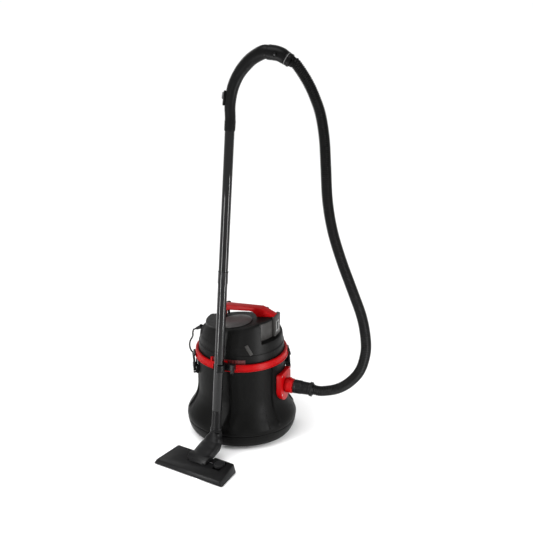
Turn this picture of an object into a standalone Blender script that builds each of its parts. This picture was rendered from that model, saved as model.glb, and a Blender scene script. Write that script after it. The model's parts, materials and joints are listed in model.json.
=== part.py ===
"""Wet-and-dry shop vacuum on castors, with its wand parked in front of the drum.

Metres, +Z up. Inside this file the drum's own frame is used: the origin is on the floor
below the drum's axis, -Y is the front, where the wand parks, and +X is the inlet side.
One empty, "vacuum", then moves everything so that the object's floor box is centred.
"""

import math

import bmesh
import bpy
from mathutils import Matrix, Vector

# ---------------------------------------------------------------- driving dimensions
DRUM_PLACE = (-0.03825, 0.1136, 0.0)     # drum axis, from the middle of the object's floor box
GAP = 0.0003                           # left between pieces that touch

SKIRT_RADIUS = 0.1935                  # widest part of the drum
SEAM_HEIGHT = 0.057                    # top of the base plate
TANK_RADIUS = 0.155
TANK_TOP = 0.300
TANK_WALL = 0.003
GROOVE_COUNT = 6
GROOVE_DEPTH = 0.007
GROOVE_HALF_ANGLE = math.radians(6)

BAND_RADIUS = 0.1612
BAND_BOTTOM = 0.2935
BAND_TOP = 0.3175
BEAD = 0.0030                          # bead along the band's lower edge, for the latches
FLANGE_TOP = 0.3146                    # top of the head's base plate
HEAD_RADIUS = 0.149
HEAD_TOP = 0.4335                      # at the drum's axis; the top climbs to the right
TOP_SLOPE = 0.16
DECK_HEIGHT = 0.392                    # lower deck behind the handle
POCKET_RADIUS = 0.124                  # side pockets of the head
POCKET_SILL = 0.378
POCKET_HALF_ANGLE = math.radians(37)
FLOAT_SEAT = 0.0175                    # hole in the base plate that the float closes

CASTER_COUNT = 5
CASTER_CIRCLE = 0.140
CASTER_TRAIL = 0.012
WHEEL_RADIUS = 0.017
WHEEL_WIDTH = 0.012
CASTER_PLATE = 0.048                   # underside of the base plate, above the floor

INLET_HEIGHT = 0.197
INLET_BORE = 0.0165
SPIGOT_RADIUS = 0.0210
SPIGOT_END = 0.200
CUFF_END = 0.270

TUBE_RADIUS = 0.016
TUBE_WALL = 0.0012
TUBE_LENGTH = 0.490
TUBE_OVERLAP = 0.032
WAND_LEAN = math.radians(8)
WAND_AT_BAND = Vector((0, -0.199, 0.300))
NECK_FOOT = 0.020                      # along the wand axis, from the wand's own origin
TUBE_FOOT = 0.111
GRIP_RADIUS = 0.019

HOSE_DIAMETER = 0.036
HEAD_YAW = math.radians(-12)           # the floor head turned on its neck
NOZZLE_LENGTH = 0.288
NOZZLE_DEPTH = 0.108
NOZZLE_FRONT = 0.021
NOZZLE_BACK = 0.034
SOLE = 0.0022
BARREL_RADIUS = 0.0235
BARREL_LENGTH = 0.078
BARREL_HEIGHT = 0.0270
NECK_REACH = 0.090                     # neck to barrel
BARREL_FROM_MIDDLE = 0.022             # barrel behind the nozzle's middle
BRUSH_TRAVEL = 0.006

CORD_DIAMETER = 0.0065
COIL_MEAN_RADIUS = 6 * CORD_DIAMETER
COIL_TURNS_WIDE = 4
COIL_TURNS_HIGH = 5
COIL_CENTRE = Vector((-0.100, 0.325, 0))

WAND_ORIGIN = WAND_AT_BAND + (0.060 - WAND_AT_BAND.z) * Vector((0, math.tan(WAND_LEAN), 1))

# The hose's centreline, from the cuff at the tank to the swivel collar on the wand.
HOSE_ROUTE = [
    (0.2710, 0.000, 0.197), (0.300, 0.000, 0.197), (0.355, -0.001, 0.216), (0.400, -0.003, 0.250),
    (0.437, -0.006, 0.300), (0.456, -0.011, 0.360), (0.460, -0.016, 0.420), (0.446, -0.022, 0.507),
    (0.412, -0.030, 0.605), (0.374, -0.038, 0.709), (0.343, -0.043, 0.811), (0.326, -0.048, 0.914),
    (0.320, -0.053, 1.030), (0.315, -0.057, 1.120), (0.302, -0.060, 1.200), (0.281, -0.062, 1.258),
    (0.256, -0.064, 1.307), (0.2212, -0.066, 1.3547), (0.2050, -0.066, 1.3629),
]

# The mains lead's centreline, from the gland's tip to where it joins the coil.
CORD_ROUTE = [
    (-0.1730, 0.000, 0.3545), (-0.184, 0.003, 0.3480), (-0.195, 0.016, 0.330),
    (-0.203, 0.031, 0.306), (-0.2185, 0.043, 0.280), (-0.2265, 0.053, 0.256),
    (-0.2260, 0.063, 0.232), (-0.2185, 0.074, 0.217), (-0.208, 0.088, 0.208),
    (-0.199, 0.108, 0.188), (-0.191, 0.132, 0.155), (-0.182, 0.158, 0.114),
    (-0.174, 0.187, 0.070), (-0.168, 0.218, 0.033), (-0.162, 0.250, 0.0095),
    (-0.158, 0.283, 0.0037), (-0.1560, 0.308, 0.0036),
]

vacuum = None                          # the empty that carries every piece
parts = None
cutters = None


# ---------------------------------------------------------------- materials and scene
def clear_scene():
    for obj in list(bpy.data.objects):
        bpy.data.objects.remove(obj, do_unlink=True)


def new_collection(name):
    collection = bpy.data.collections.new(name)
    bpy.context.scene.collection.children.link(collection)
    return collection


def material(name, colour, roughness, metallic=0.0):
    mat = bpy.data.materials.get(name)
    if mat is None:
        mat = bpy.data.materials.new(name)
        mat.use_nodes = True
        shader = mat.node_tree.nodes["Principled BSDF"]
        shader.inputs["Base Color"].default_value = (*colour, 1.0)
        shader.inputs["Roughness"].default_value = roughness
        shader.inputs["Metallic"].default_value = metallic
    return mat


def black_plastic():
    return material("black_plastic", (0.014, 0.014, 0.013), 0.42)


def dark_trim():
    return material("dark_trim", (0.022, 0.022, 0.023), 0.5)


def red_plastic():
    return material("red_plastic", (0.55, 0.006, 0.010), 0.3)


def tube_black():
    return material("tube_black", (0.006, 0.006, 0.006), 0.12)


def grey_plastic():
    return material("grey_plastic", (0.16, 0.16, 0.16), 0.4)


def rubber():
    return material("rubber", (0.010, 0.010, 0.010), 0.75)


def steel():
    return material("steel", (0.55, 0.55, 0.56), 0.3, 1.0)


def motor_alloy():
    return material("motor_alloy", (0.55, 0.55, 0.56), 0.35, 1.0)


def foam():
    return material("foam", (0.05, 0.05, 0.055), 0.95)


# ---------------------------------------------------------------- shape helpers
def add(obj, mat, parent=None):
    """Puts an object, with the tools that cut it, in the model under the empty that carries it."""
    obj.data.materials.clear()
    obj.data.materials.append(mat)
    parts.objects.link(obj)
    obj.parent = parent or vacuum
    for tool in tools_of(obj):
        tool.parent = obj.parent
    return obj


def tools_of(obj):
    return [modifier.object for modifier in obj.modifiers if modifier.type == "BOOLEAN"]


def empty(name, location, parent=None, turn=None):
    obj = bpy.data.objects.new(name, None)
    parts.objects.link(obj)
    obj.parent = parent
    obj.location = location
    if turn is not None:
        obj.rotation_euler = turn
    return obj


def mesh_from(name, bm):
    mesh = bpy.data.meshes.new(name)
    bm.to_mesh(mesh)
    bm.free()
    return bpy.data.objects.new(name, mesh)


def smooth_sides(obj, angle=35):
    obj.data.shade_smooth()
    obj.data.set_sharp_from_angle(angle=math.radians(angle))
    return obj


def evaluated_copy(obj, name):
    """The object's mesh with its modifiers applied, as a new object; the old one is removed."""
    bpy.context.view_layer.update()
    graph = bpy.context.evaluated_depsgraph_get()
    mesh = bpy.data.meshes.new_from_object(obj.evaluated_get(graph))
    bm = bmesh.new()
    bm.from_mesh(mesh)
    bmesh.ops.remove_doubles(bm, verts=bm.verts, dist=1e-5)
    bmesh.ops.recalc_face_normals(bm, faces=bm.faces)
    bm.to_mesh(mesh)
    bm.free()
    matrix = obj.matrix_world.copy()
    bpy.data.objects.remove(obj, do_unlink=True)
    copy = bpy.data.objects.new(name, mesh)
    copy.matrix_world = matrix
    return copy


def block(name, size, centre):
    """A box of full size, whose place is in its mesh."""
    bm = bmesh.new()
    bmesh.ops.create_cube(bm, size=1.0)
    bmesh.ops.scale(bm, vec=size, verts=bm.verts)
    bmesh.ops.translate(bm, vec=centre, verts=bm.verts)
    return mesh_from(name, bm)


def rod(name, radius, start, end, sides=24, end_radius=None):
    """A cylinder or cone from start to end."""
    start, end = Vector(start), Vector(end)
    bm = bmesh.new()
    bmesh.ops.create_cone(bm, cap_ends=True, segments=sides, radius1=radius,
                          radius2=radius if end_radius is None else end_radius,
                          depth=(end - start).length)
    turn = (end - start).to_track_quat("Z", "Y").to_matrix().to_4x4()
    bmesh.ops.transform(bm, matrix=Matrix.Translation((start + end) / 2) @ turn, verts=bm.verts)
    return mesh_from(name, bm)


def turned(name, profile, steps=48, closed=True, place=None):
    """A shape of revolution about Z. The profile is (radius, height), down the outer side first."""
    bm = bmesh.new()
    ring = [bm.verts.new((radius, 0, height)) for radius, height in profile]
    for a, b in zip(ring, ring[1:]):
        bm.edges.new((a, b))
    if closed:
        bm.edges.new((ring[-1], ring[0]))
    obj = mesh_from(name + "_profile", bm)
    parts.objects.link(obj)
    screw = obj.modifiers.new("Screw", "SCREW")
    screw.axis = "Z"
    screw.steps = screw.render_steps = steps
    screw.use_merge_vertices = True
    screw.merge_threshold = 1e-5
    obj = evaluated_copy(obj, name)
    if place is not None:
        obj.data.transform(place)
    return obj


def lathe_place(point, direction):
    """The matrix that stands a turned shape's +Z along a direction, at a point."""
    turn = Vector(direction).to_track_quat("Z", "Y").to_matrix().to_4x4()
    return Matrix.Translation(Vector(point)) @ turn


def plate(name, outline, thickness, place):
    """A flat outline, as a filled curve, with its thickness; place stands it in the model."""
    curve = bpy.data.curves.new(name + "_outline", "CURVE")
    curve.dimensions = "2D"
    curve.fill_mode = "BOTH"
    curve.extrude = thickness / 2
    spline = curve.splines.new("POLY")
    spline.points.add(len(outline) - 1)
    for point, (x, y) in zip(spline.points, outline):
        point.co = (x, y, 0, 1)
    spline.use_cyclic_u = True
    obj = bpy.data.objects.new(name + "_outline", curve)
    parts.objects.link(obj)
    obj = evaluated_copy(obj, name)
    obj.data.transform(place)
    return obj


def pipe(name, points, radii, resolution=3):
    """A round bar along points; radii is one radius or one for each point."""
    if isinstance(radii, float):
        radii = [radii] * len(points)
    curve = bpy.data.curves.new(name + "_line", "CURVE")
    curve.dimensions = "3D"
    curve.bevel_depth = 1.0
    curve.bevel_resolution = resolution
    curve.use_fill_caps = True
    spline = curve.splines.new("POLY")
    spline.points.add(len(points) - 1)
    for point, co, radius in zip(spline.points, points, radii):
        point.co = (*co, 1)
        point.radius = radius
    obj = bpy.data.objects.new(name + "_line", curve)
    parts.objects.link(obj)
    return evaluated_copy(obj, name)


def arc(centre, radius, first, last, count):
    """Points on a flat arc, in degrees."""
    turns = [math.radians(first + (last - first) * i / (count - 1)) for i in range(count)]
    return [(centre[0] + radius * math.cos(t), centre[1] + radius * math.sin(t)) for t in turns]


def smooth_route(points, spacing):
    """Points at an even spacing on a smooth curve through a route's own points."""
    route = [Vector(p) for p in points]
    route = [2 * route[0] - route[1]] + route + [2 * route[-1] - route[-2]]
    fine = []
    for a, b, c, d in zip(route, route[1:], route[2:], route[3:]):
        for i in range(20):
            t = i / 20
            fine.append(0.5 * (2 * b + (c - a) * t + (2 * a - 5 * b + 4 * c - d) * t * t
                               + (3 * b - a - 3 * c + d) * t ** 3))
    fine.append(route[-2])
    total = sum((q - p).length for p, q in zip(fine, fine[1:]))
    count = max(2, round(total / spacing))
    even, walked, step = [fine[0]], 0.0, total / count
    for p, q in zip(fine, fine[1:]):
        length = (q - p).length
        while walked + length >= step * len(even) - 1e-9 and len(even) < count:
            even.append(p.lerp(q, (step * len(even) - walked) / length))
        walked += length
    return even + [fine[-1]]


def boolean(obj, tool, operation="DIFFERENCE"):
    """Cuts or joins with a tool object, which then lives with the cutters."""
    cutters.objects.link(tool)
    tool.parent = obj.parent
    tool.hide_render = True
    tool.display_type = "WIRE"
    modifier = obj.modifiers.new(operation.title(), "BOOLEAN")
    modifier.operation = operation
    modifier.object = tool
    modifier.solver = "EXACT"
    return obj


def bevel(obj, width, segments=2):
    modifier = obj.modifiers.new("Bevel", "BEVEL")
    modifier.width = width
    modifier.segments = segments
    modifier.limit_method = "ANGLE"
    modifier.angle_limit = math.radians(40)
    modifier.harden_normals = False
    return obj


def joined(name, objects):
    """Several loose solids in one object, for a group of like pieces."""
    bm = bmesh.new()
    for obj in objects:
        bm.from_mesh(obj.data)
        bpy.data.objects.remove(obj, do_unlink=True)
    return mesh_from(name, bm)


def angle_from_front(x, y):
    """The turn about the drum axis from the front (-Y), positive towards +X."""
    return math.atan2(x, -y)


def nearest_step(angle, count):
    """How far an angle is from the nearest of count even directions."""
    pitch = 2 * math.pi / count
    return abs((angle + pitch / 2) % pitch - pitch / 2)


# ---------------------------------------------------------------- drum
def grooved_radius(radius, height, angle):
    """The tank's outer radius at a height and direction, with its upright grooves."""
    off = nearest_step(angle, GROOVE_COUNT) - GROOVE_HALF_ANGLE
    across = min(1.0, max(0.0, 1 - off / math.radians(4)))
    fade = min(1.0, max(0.0, (height - SEAM_HEIGHT - 0.004) / 0.025))
    rim = min(1.0, max(0.0, (TANK_TOP - 0.006 - height) / 0.006))
    return radius - GROOVE_DEPTH * across * fade * rim


def shaped_shell(name, profile, steps, wall, radius_rule):
    """An open turned surface, pushed in or out by a rule, then given its wall inwards."""
    obj = turned(name, profile, steps=steps, closed=False)
    for vertex in obj.data.vertices:
        x, y, z = vertex.co
        radius = math.hypot(x, y)
        if radius > 1e-6:
            scale = radius_rule(radius, z, angle_from_front(x, y)) / radius
            vertex.co.x, vertex.co.y = x * scale, y * scale
    solid = obj.modifiers.new("Wall", "SOLIDIFY")
    solid.thickness = wall
    solid.offset = -1
    solid.use_even_offset = True
    return obj


def make_tank():
    profile = [
        (TANK_RADIUS + 0.001, TANK_TOP), (TANK_RADIUS + 0.001, TANK_TOP - 0.006),
        (TANK_RADIUS, TANK_TOP - 0.014), (TANK_RADIUS - 0.001, 0.185),
        (0.157, 0.150), (0.1655, 0.124), (0.1785, 0.102), (0.1893, 0.085), (SKIRT_RADIUS, 0.072),
        (0.1930, SEAM_HEIGHT + 0.004), (0.1885, SEAM_HEIGHT + GAP), (0.0, SEAM_HEIGHT + GAP),
    ]
    tank = shaped_shell("tank", profile, 48, TANK_WALL, grooved_radius)
    boolean(tank, rod("inlet_hole", SPIGOT_RADIUS + 0.0005, (0.12, 0, INLET_HEIGHT),
                      (0.20, 0, INLET_HEIGHT)))
    return add(tank, black_plastic())


def make_tank_gasket():
    outer, inner = TANK_RADIUS + 0.0012, TANK_RADIUS - 0.0035
    low, high = TANK_TOP + GAP, TANK_TOP + 0.0043
    profile = [(outer, high), (outer, low), (inner, low), (inner, high)]
    return add(turned("tank_gasket", profile, 40), rubber())


def make_base_plate():
    profile = [
        (0.0, SEAM_HEIGHT), (SKIRT_RADIUS - 0.002, SEAM_HEIGHT), (0.1905, 0.045), (0.186, 0.029),
        (0.1785, 0.015), (0.1755, 0.015), (0.1825, 0.029), (0.186, 0.041), (0.185, CASTER_PLATE + 0.002),
        (0.182, CASTER_PLATE), (0.0, CASTER_PLATE),
    ]
    base = turned("base_plate", profile, 48, closed=False)
    for i in range(CASTER_COUNT):
        x, y = caster_place(i)
        boolean(base, rod(f"caster_socket_{i + 1}", 0.0042, (x, y, CASTER_PLATE - 0.01),
                          (x, y, SEAM_HEIGHT - 0.002), 16))
    return add(base, black_plastic())


def caster_place(index):
    turn = 2 * math.pi * index / CASTER_COUNT
    return CASTER_CIRCLE * math.sin(turn), -CASTER_CIRCLE * math.cos(turn)


def make_caster(index):
    """A swivel fork with its stem and riveted axle, and a wheel that trails behind the stem."""
    x, y = caster_place(index)
    outward = Vector((x, y, 0)).normalized()
    side = Vector((-outward.y, outward.x, 0))
    trail = empty(f"caster_{index + 1}_axis", (x, y, 0), vacuum)
    wheel_centre = Vector((0, 0, WHEEL_RADIUS)) - outward * CASTER_TRAIL

    turn = Matrix((outward, side, Vector((0, 0, 1)))).transposed().to_4x4()
    hub = rod(f"caster_fork_{index + 1}", 0.013, (0, 0, 0.0395), (0, 0, CASTER_PLATE - GAP), 16)
    for sign in (-1, 1):
        cheek = block(f"caster_cheek_{index + 1}", (0.020, 0.0022, 0.032),
                      (-0.006, sign * 0.0084, 0.0265))
        cheek.data.transform(turn)
        boolean(hub, cheek, "UNION")
    stem = rod(f"caster_stem_{index + 1}", 0.0039, (0, 0, CASTER_PLATE - 0.004),
               (0, 0, SEAM_HEIGHT - 0.003), 12)
    boolean(hub, stem, "UNION")
    axle = rod(f"caster_axle_{index + 1}", 0.0021, wheel_centre - side * 0.0102,
               wheel_centre + side * 0.0102, 12)
    boolean(hub, axle, "UNION")
    add(hub, dark_trim(), trail)

    half = WHEEL_WIDTH / 2
    rim = [(WHEEL_RADIUS - 0.002, half), (WHEEL_RADIUS, half - 0.002), (WHEEL_RADIUS, 0.002 - half),
           (WHEEL_RADIUS - 0.002, -half), (0.0026, -half), (0.0026, half)]
    wheel = turned(f"caster_wheel_{index + 1}", rim, 18,
                   place=lathe_place(wheel_centre, side))
    add(wheel, rubber(), trail)


# ---------------------------------------------------------------- head
def make_clamp_band():
    """The red band that clamps the head's flange down on the tank's rim."""
    profile = [
        (BAND_RADIUS - 0.0015, BAND_TOP), (BAND_RADIUS, BAND_TOP - 0.0015),
        (BAND_RADIUS, BAND_BOTTOM + 0.0030), (BAND_RADIUS + BEAD, BAND_BOTTOM + 0.0028),
        (BAND_RADIUS + BEAD, BAND_BOTTOM + 0.0006), (BAND_RADIUS + BEAD - 0.0006, BAND_BOTTOM),
        (TANK_RADIUS + 0.003, BAND_BOTTOM), (TANK_RADIUS + 0.003, FLANGE_TOP + GAP),
        (HEAD_RADIUS + 0.0012, FLANGE_TOP + GAP), (HEAD_RADIUS + 0.0012, BAND_TOP),
    ]
    return add(turned("clamp_band", profile, 48), red_plastic())


def make_head_base():
    """The head's flange, which carries the motor above it and the filter cage below it."""
    low, outer = TANK_TOP + 0.0046, TANK_RADIUS + 0.002
    profile = [(outer, FLANGE_TOP), (outer, low), (FLOAT_SEAT, low), (FLOAT_SEAT, FLANGE_TOP)]
    base = turned("head_base", profile, 48)
    return add(base, black_plastic())


def pocketed_radius(radius, height, angle, wall=0.0):
    """The head's radius, drawn in above the sill on its left and right sides."""
    off = nearest_step(angle - math.pi / 2, 2) - POCKET_HALF_ANGLE - wall / POCKET_RADIUS
    across = min(1.0, max(0.0, 1 - off / math.radians(3)))
    above = min(1.0, max(0.0, (height + wall - POCKET_SILL) / 0.003))
    return radius + (min(radius, POCKET_RADIUS - wall) - radius) * across * above


def top_height(x):
    return HEAD_TOP + TOP_SLOPE * x


def head_height(x, y, z, wall=0.0):
    """The height of a point of the head, lifted to the right and let down behind the handle."""
    share = min(1.0, max(0.0, (z + wall - 0.386) / (HEAD_TOP - 0.386)))
    along = min(1.0, max(0.0, (y + wall - 0.016) / 0.022))
    step = along * along * (3 - 2 * along)
    return z + share * (TOP_SLOPE * x * (1 - step) - (HEAD_TOP - DECK_HEIGHT) * step)


def head_form(name, profile, wall=0.0):
    """A turned solid with the head's side pockets, its sloping top and its lower deck."""
    obj = turned(name, profile, 48, closed=False)
    for vertex in obj.data.vertices:
        x, y, z = vertex.co
        radius = math.hypot(x, y)
        if radius > 1e-6:
            scale = pocketed_radius(radius, z, angle_from_front(x, y), wall) / radius
            vertex.co.x, vertex.co.y = x * scale, y * scale
        vertex.co.z = head_height(vertex.co.x, vertex.co.y, z, wall)
    return obj


def make_head_shell():
    """The head's cover: a sloping top in front of the handle, and a lower deck behind it."""
    side = [
        (HEAD_RADIUS, 0.345), (0.1455, 0.366), (0.1435, POCKET_SILL), (0.1425, POCKET_SILL + 0.003),
        (0.1385, 0.398), (0.1340, 0.413), (0.1300, 0.4235), (0.1268, 0.4305),
    ]
    top = [(r, HEAD_TOP) for r in (0.1220, 0.105, 0.088, 0.071, 0.054, 0.037, 0.020, 0.0)]
    foot = FLANGE_TOP + GAP
    shell = head_form("head_shell", [(0.0, foot), (HEAD_RADIUS, foot)] + side + top)
    inner = [(max(0.0, r - TANK_WALL), z - TANK_WALL) for r, z in side + top]
    boolean(shell, head_form("head_hollow", [(0.0, 0.300), (HEAD_RADIUS - TANK_WALL, 0.300)] + inner,
                             TANK_WALL))
    slots = []
    for i in range(-3, 4):
        slot = block("vent", (0.0055, 0.03, 0.026), (0, 0.142, 0.348))
        slot.data.transform(Matrix.Rotation(math.radians(8 * i), 4, "Z"))
        slots.append(slot)
    boolean(shell, joined("vent_slots", slots))
    return add(shell, black_plastic())


def make_top_cap():
    """The round boss that closes the motor's space, at the front of the head's top."""
    profile = [(0.0, 0.0088), (0.030, 0.0084), (0.050, 0.0068), (0.0585, 0.0045), (0.0600, 0.0),
               (0.0, 0.0)]
    tilt = Matrix.Rotation(-math.atan(TOP_SLOPE), 4, "Y")
    cap = turned("top_cap", profile, 32, closed=False,
                 place=Matrix.Translation((0.003, -0.058, top_height(0.003) + GAP)) @ tilt)
    return add(cap, black_plastic())


def make_carry_handle():
    """A bar across the head's top, from a slim left leg to a long sloped right leg."""
    outline = [
        (-0.0860, top_height(-0.0860) + GAP), (-0.0740, 0.4530), (-0.0590, 0.4680), (-0.0510, 0.4705),
        (0.0770, 0.4785), (0.0840, 0.4765), (0.1285, 0.4580), (0.1290, top_height(0.1290) + GAP),
        (0.0640, top_height(0.0640) + GAP), (0.0590, 0.4530), (0.0500, 0.4600), (0.0380, 0.4615),
        (-0.0380, 0.4540), (-0.0490, 0.4510), (-0.0560, 0.4430), (-0.0600, top_height(-0.0600) + GAP),
    ]
    place = Matrix.Rotation(math.radians(90), 4, "X")
    handle = plate("carry_handle", outline, 0.031, place)
    return add(handle, red_plastic())


SWITCH_CENTRE = Vector((0.1345, 0.0, 0.419))


def make_switch_block():
    """The raised block at the right of the head, which holds the mains switch."""
    size = (0.026, 0.048, 0.076)
    body = block("switch_block", size, (0.1345 - size[0] / 2, 0.0065, 0.3816 + size[2] / 2))
    bevel(body, 0.004, 2)
    reach = POCKET_RADIUS + 2 * GAP
    wall = turned("head_clearance", [(0, 0.480), (reach, 0.480), (reach, 0.360), (0, 0.360)], 96,
                  closed=False)
    boolean(body, wall)
    leg = block("handle_clearance", (0.06, 0.034, 0.06), (0.100, 0, top_height(0.124) + 0.0290))
    boolean(body, leg)
    well = block("switch_well", (0.0085, 0.0150, 0.0290), SWITCH_CENTRE - Vector((0.004, 0, 0)))
    boolean(body, well)
    return add(body, black_plastic())


def make_switch_rocker():
    """A rocker with a shallow V face; its axis is at the switch's centre, along Y."""
    outline = [(-0.0030, -0.0110), (0.0016, -0.0125), (-0.0002, 0.0), (0.0030, 0.0125),
               (-0.0022, 0.0110)]
    place = Matrix.Translation(SWITCH_CENTRE) @ Matrix.Rotation(math.radians(90), 4, "X")
    rocker = plate("switch_rocker", [(x, z) for x, z in outline], 0.0140, place)
    return add(rocker, grey_plastic())


def make_cord_hooks():
    """Two tall mushroom posts on the head's deck, behind the handle."""
    profile = [(0.0, 0.0610), (0.0070, 0.0595), (0.0080, 0.0565), (0.0046, 0.0545), (0.0046, 0.0),
               (0.0, 0.0)]
    for name, x in (("cord_hook_left", -0.072), ("cord_hook_right", 0.072)):
        place = Matrix.Translation((x, 0.058, DECK_HEIGHT + GAP))
        add(turned(name, profile, 16, closed=False, place=place), dark_trim())


def make_cord_gland():
    tip, onward = Vector(CORD_ROUTE[0]), Vector(CORD_ROUTE[1])
    along = (onward - tip).normalized()
    gland = rod("cord_gland", 0.0070, tip - along * 0.032, tip - along * 0.0008, 20, 0.0046)
    low, high = HEAD_RADIUS + 0.0003, 0.1455 + 0.0003
    head = turned("head_clearance", [(0, 0.390), (high, 0.390), (high, 0.366), (low, 0.345), (low, 0.330),
                                     (0, 0.330)], 48, closed=False)
    return add(boolean(gland, head), rubber())


# ---------------------------------------------------------------- inside the head and tank
def make_motor():
    body = turned("motor", [(0.046, 0.384), (0.050, 0.380), (0.050, 0.350), (0.046, 0.346),
                            (0.0036, 0.346), (0.0036, 0.384)], 24)
    return add(body, motor_alloy())


def make_fan_housing():
    """The bowl round the fan, standing on the head's base, with the motor on its lid."""
    low = FLANGE_TOP + GAP
    housing = turned("fan_housing", [(0.068, 0.3455), (0.068, low), (0.065, low), (0.065, 0.3425),
                                     (0.012, 0.3425), (0.012, 0.3455)], 24)
    return add(housing, grey_plastic())


def make_impeller():
    """A disc fan on its shaft, which runs up through the motor."""
    fan = turned("impeller", [(0.0, 0.382), (0.0032, 0.382), (0.0032, 0.336), (0.058, 0.332),
                              (0.058, 0.330), (0.018, 0.320), (0.0, 0.320)], 24, closed=False)
    return add(fan, steel())


def make_filter_cage():
    """The float cage under the head's base: ribs round a bore, closed at its foot."""
    top, foot = TANK_TOP + 0.0043, 0.206
    cage = turned("filter_cage", [(0.0, foot + 0.003), (0.037, foot + 0.003), (0.037, top), (0.040, top),
                                  (0.040, foot), (0.0, foot)], 24, closed=False)
    windows = []
    for i in range(3):
        window = block("window", (0.12, 0.020, 0.056), (0, 0, 0.250))
        window.data.transform(Matrix.Rotation(math.radians(60 * i), 4, "Z"))
        windows.append(window)
    for window in windows:
        boolean(cage, window)
    return add(cage, grey_plastic())


def make_filter_sleeve():
    top, foot = TANK_TOP + 0.0043, 0.200
    sleeve = turned("filter_sleeve", [(0.058, top), (0.058, foot), (0.0405, foot), (0.0405, top)], 28)
    return add(sleeve, foam())


def make_float_ball():
    bm = bmesh.new()
    bmesh.ops.create_uvsphere(bm, u_segments=16, v_segments=10, radius=0.0205)
    bmesh.ops.translate(bm, vec=(0, 0, 0.2305), verts=bm.verts)
    return add(smooth_sides(mesh_from("float_ball", bm)), red_plastic())


# ---------------------------------------------------------------- inlet
def make_inlet_port():
    """The red plate on the tank's wall, straight on top and round below, with its spigot."""
    half, top, bottom_centre = 0.044, 0.250, 0.186
    outline = [(-half, bottom_centre), *arc((0, bottom_centre), half, 190, 350, 13),
               (half, bottom_centre), *arc((half - 0.008, top - 0.008), 0.008, 0, 90, 4),
               *arc((0.008 - half, top - 0.008), 0.008, 90, 180, 4)]
    stand = Matrix(((0, 0, 1), (1, 0, 0), (0, 1, 0))).to_4x4()
    face = 0.168
    port = plate("inlet_port", outline, 0.030, Matrix.Translation((face - 0.015, 0, 0)) @ stand)
    wall = TANK_RADIUS + 0.0004
    boolean(port, turned("tank_clearance", [(0.0, 0.30), (wall, 0.30), (wall, 0.18), (0.1582, 0.150),
                                            (0.1652, 0.124), (0.0, 0.124)], 96, closed=False))
    spigot = rod("spigot", SPIGOT_RADIUS, (0.150, 0, INLET_HEIGHT), (SPIGOT_END, 0, INLET_HEIGHT), 32)
    boolean(port, spigot, "UNION")
    bore = rod("inlet_bore", INLET_BORE, (0.13, 0, INLET_HEIGHT), (0.22, 0, INLET_HEIGHT), 32)
    boolean(port, bore)
    return add(port, red_plastic())


def make_inlet_deflector():
    """A short duct inside the tank that turns the incoming air down, away from the filter."""
    duct = turned("inlet_deflector", [(0.0195, 0.036), (0.0195, 0.0), (0.0170, 0.0), (0.0170, 0.036)],
                  24, place=lathe_place((0.1128, 0, INLET_HEIGHT), (1, 0, 0)))
    lid = block("deflector_lid", (0.020, 0.038, 0.002), (0.1115, 0, INLET_HEIGHT + 0.0185))
    boolean(duct, lid, "UNION")
    return add(duct, black_plastic())


def make_tank_cuff():
    """The hose's bayonet cuff on the spigot, with a grip ring at its outer end."""
    length = CUFF_END - SPIGOT_END - GAP
    profile = [(0.0205, 0.0), (0.0205, 0.036), (0.0190, 0.040), (0.0190, length - 0.012),
               (0.0240, length - 0.010), (0.0240, length - 0.003), (0.0200, length),
               (0.0160, length), (0.0160, 0.0)]
    cuff = turned("tank_cuff", profile[::-1], 24,
                  place=lathe_place((SPIGOT_END + GAP, 0, INLET_HEIGHT), (1, 0, 0)))
    ridges = [block("ridge", (0.030, 0.003, 0.003), (SPIGOT_END + 0.018, 0, 0.0212)) for _ in range(2)]
    for turn, ridge in zip((40, 220), ridges):
        ridge.data.transform(Matrix.Translation((0, 0, INLET_HEIGHT))
                             @ Matrix.Rotation(math.radians(turn), 4, "X"))
        boolean(cuff, ridge, "UNION")
    return add(cuff, dark_trim())


# ---------------------------------------------------------------- latches and clip
LATCH_PIVOT = Vector((0.1665, 0, 0.2420))
LATCH_HALF = 0.022
LATCH_TURN = math.radians(28)          # the latches stand behind the drum's right and left sides


def latch_turn(sign):
    return Matrix.Rotation(LATCH_TURN + (math.pi if sign < 0 else 0.0), 4, "Z")


def make_latch(name, sign):
    """A lever hinged on the tank, which hooks over the bead on the band's lower edge."""
    x, z, bead = LATCH_PIVOT.x, LATCH_PIVOT.z, BAND_RADIUS + BEAD
    over = BAND_BOTTOM + 0.0037
    outline = [
        *arc((x, z), 0.0045, 180, 360, 7), (bead + 0.0045, BAND_BOTTOM - 0.0050), (bead + 0.0042, over + 0.0045),
        (bead + 0.0015, over + 0.0060), (BAND_RADIUS + 0.0006, over + 0.0060), (BAND_RADIUS + 0.0006, over),
        (bead + 0.0006, over), (bead + 0.0006, BAND_BOTTOM - 0.0010), (x - 0.0045, z + 0.012),
    ]
    lever = plate(name, outline, 2 * LATCH_HALF, Matrix.Rotation(math.radians(90), 4, "X"))
    lip = block("lip", (0.006, 2 * LATCH_HALF, 0.004), (bead + 0.0050, 0, BAND_BOTTOM - 0.007))
    boolean(lever, lip, "UNION")
    boolean(lever, rod("pin_bore", 0.0023, (x, -0.04, z), (x, 0.04, z), 16))
    turn_solid(lever, latch_turn(sign))
    return add(lever, dark_trim())


def turn_solid(obj, turn):
    """Turns a piece, and the tools that cut it, about the drum's axis."""
    for one in [obj] + tools_of(obj):
        one.data.transform(turn)


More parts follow.
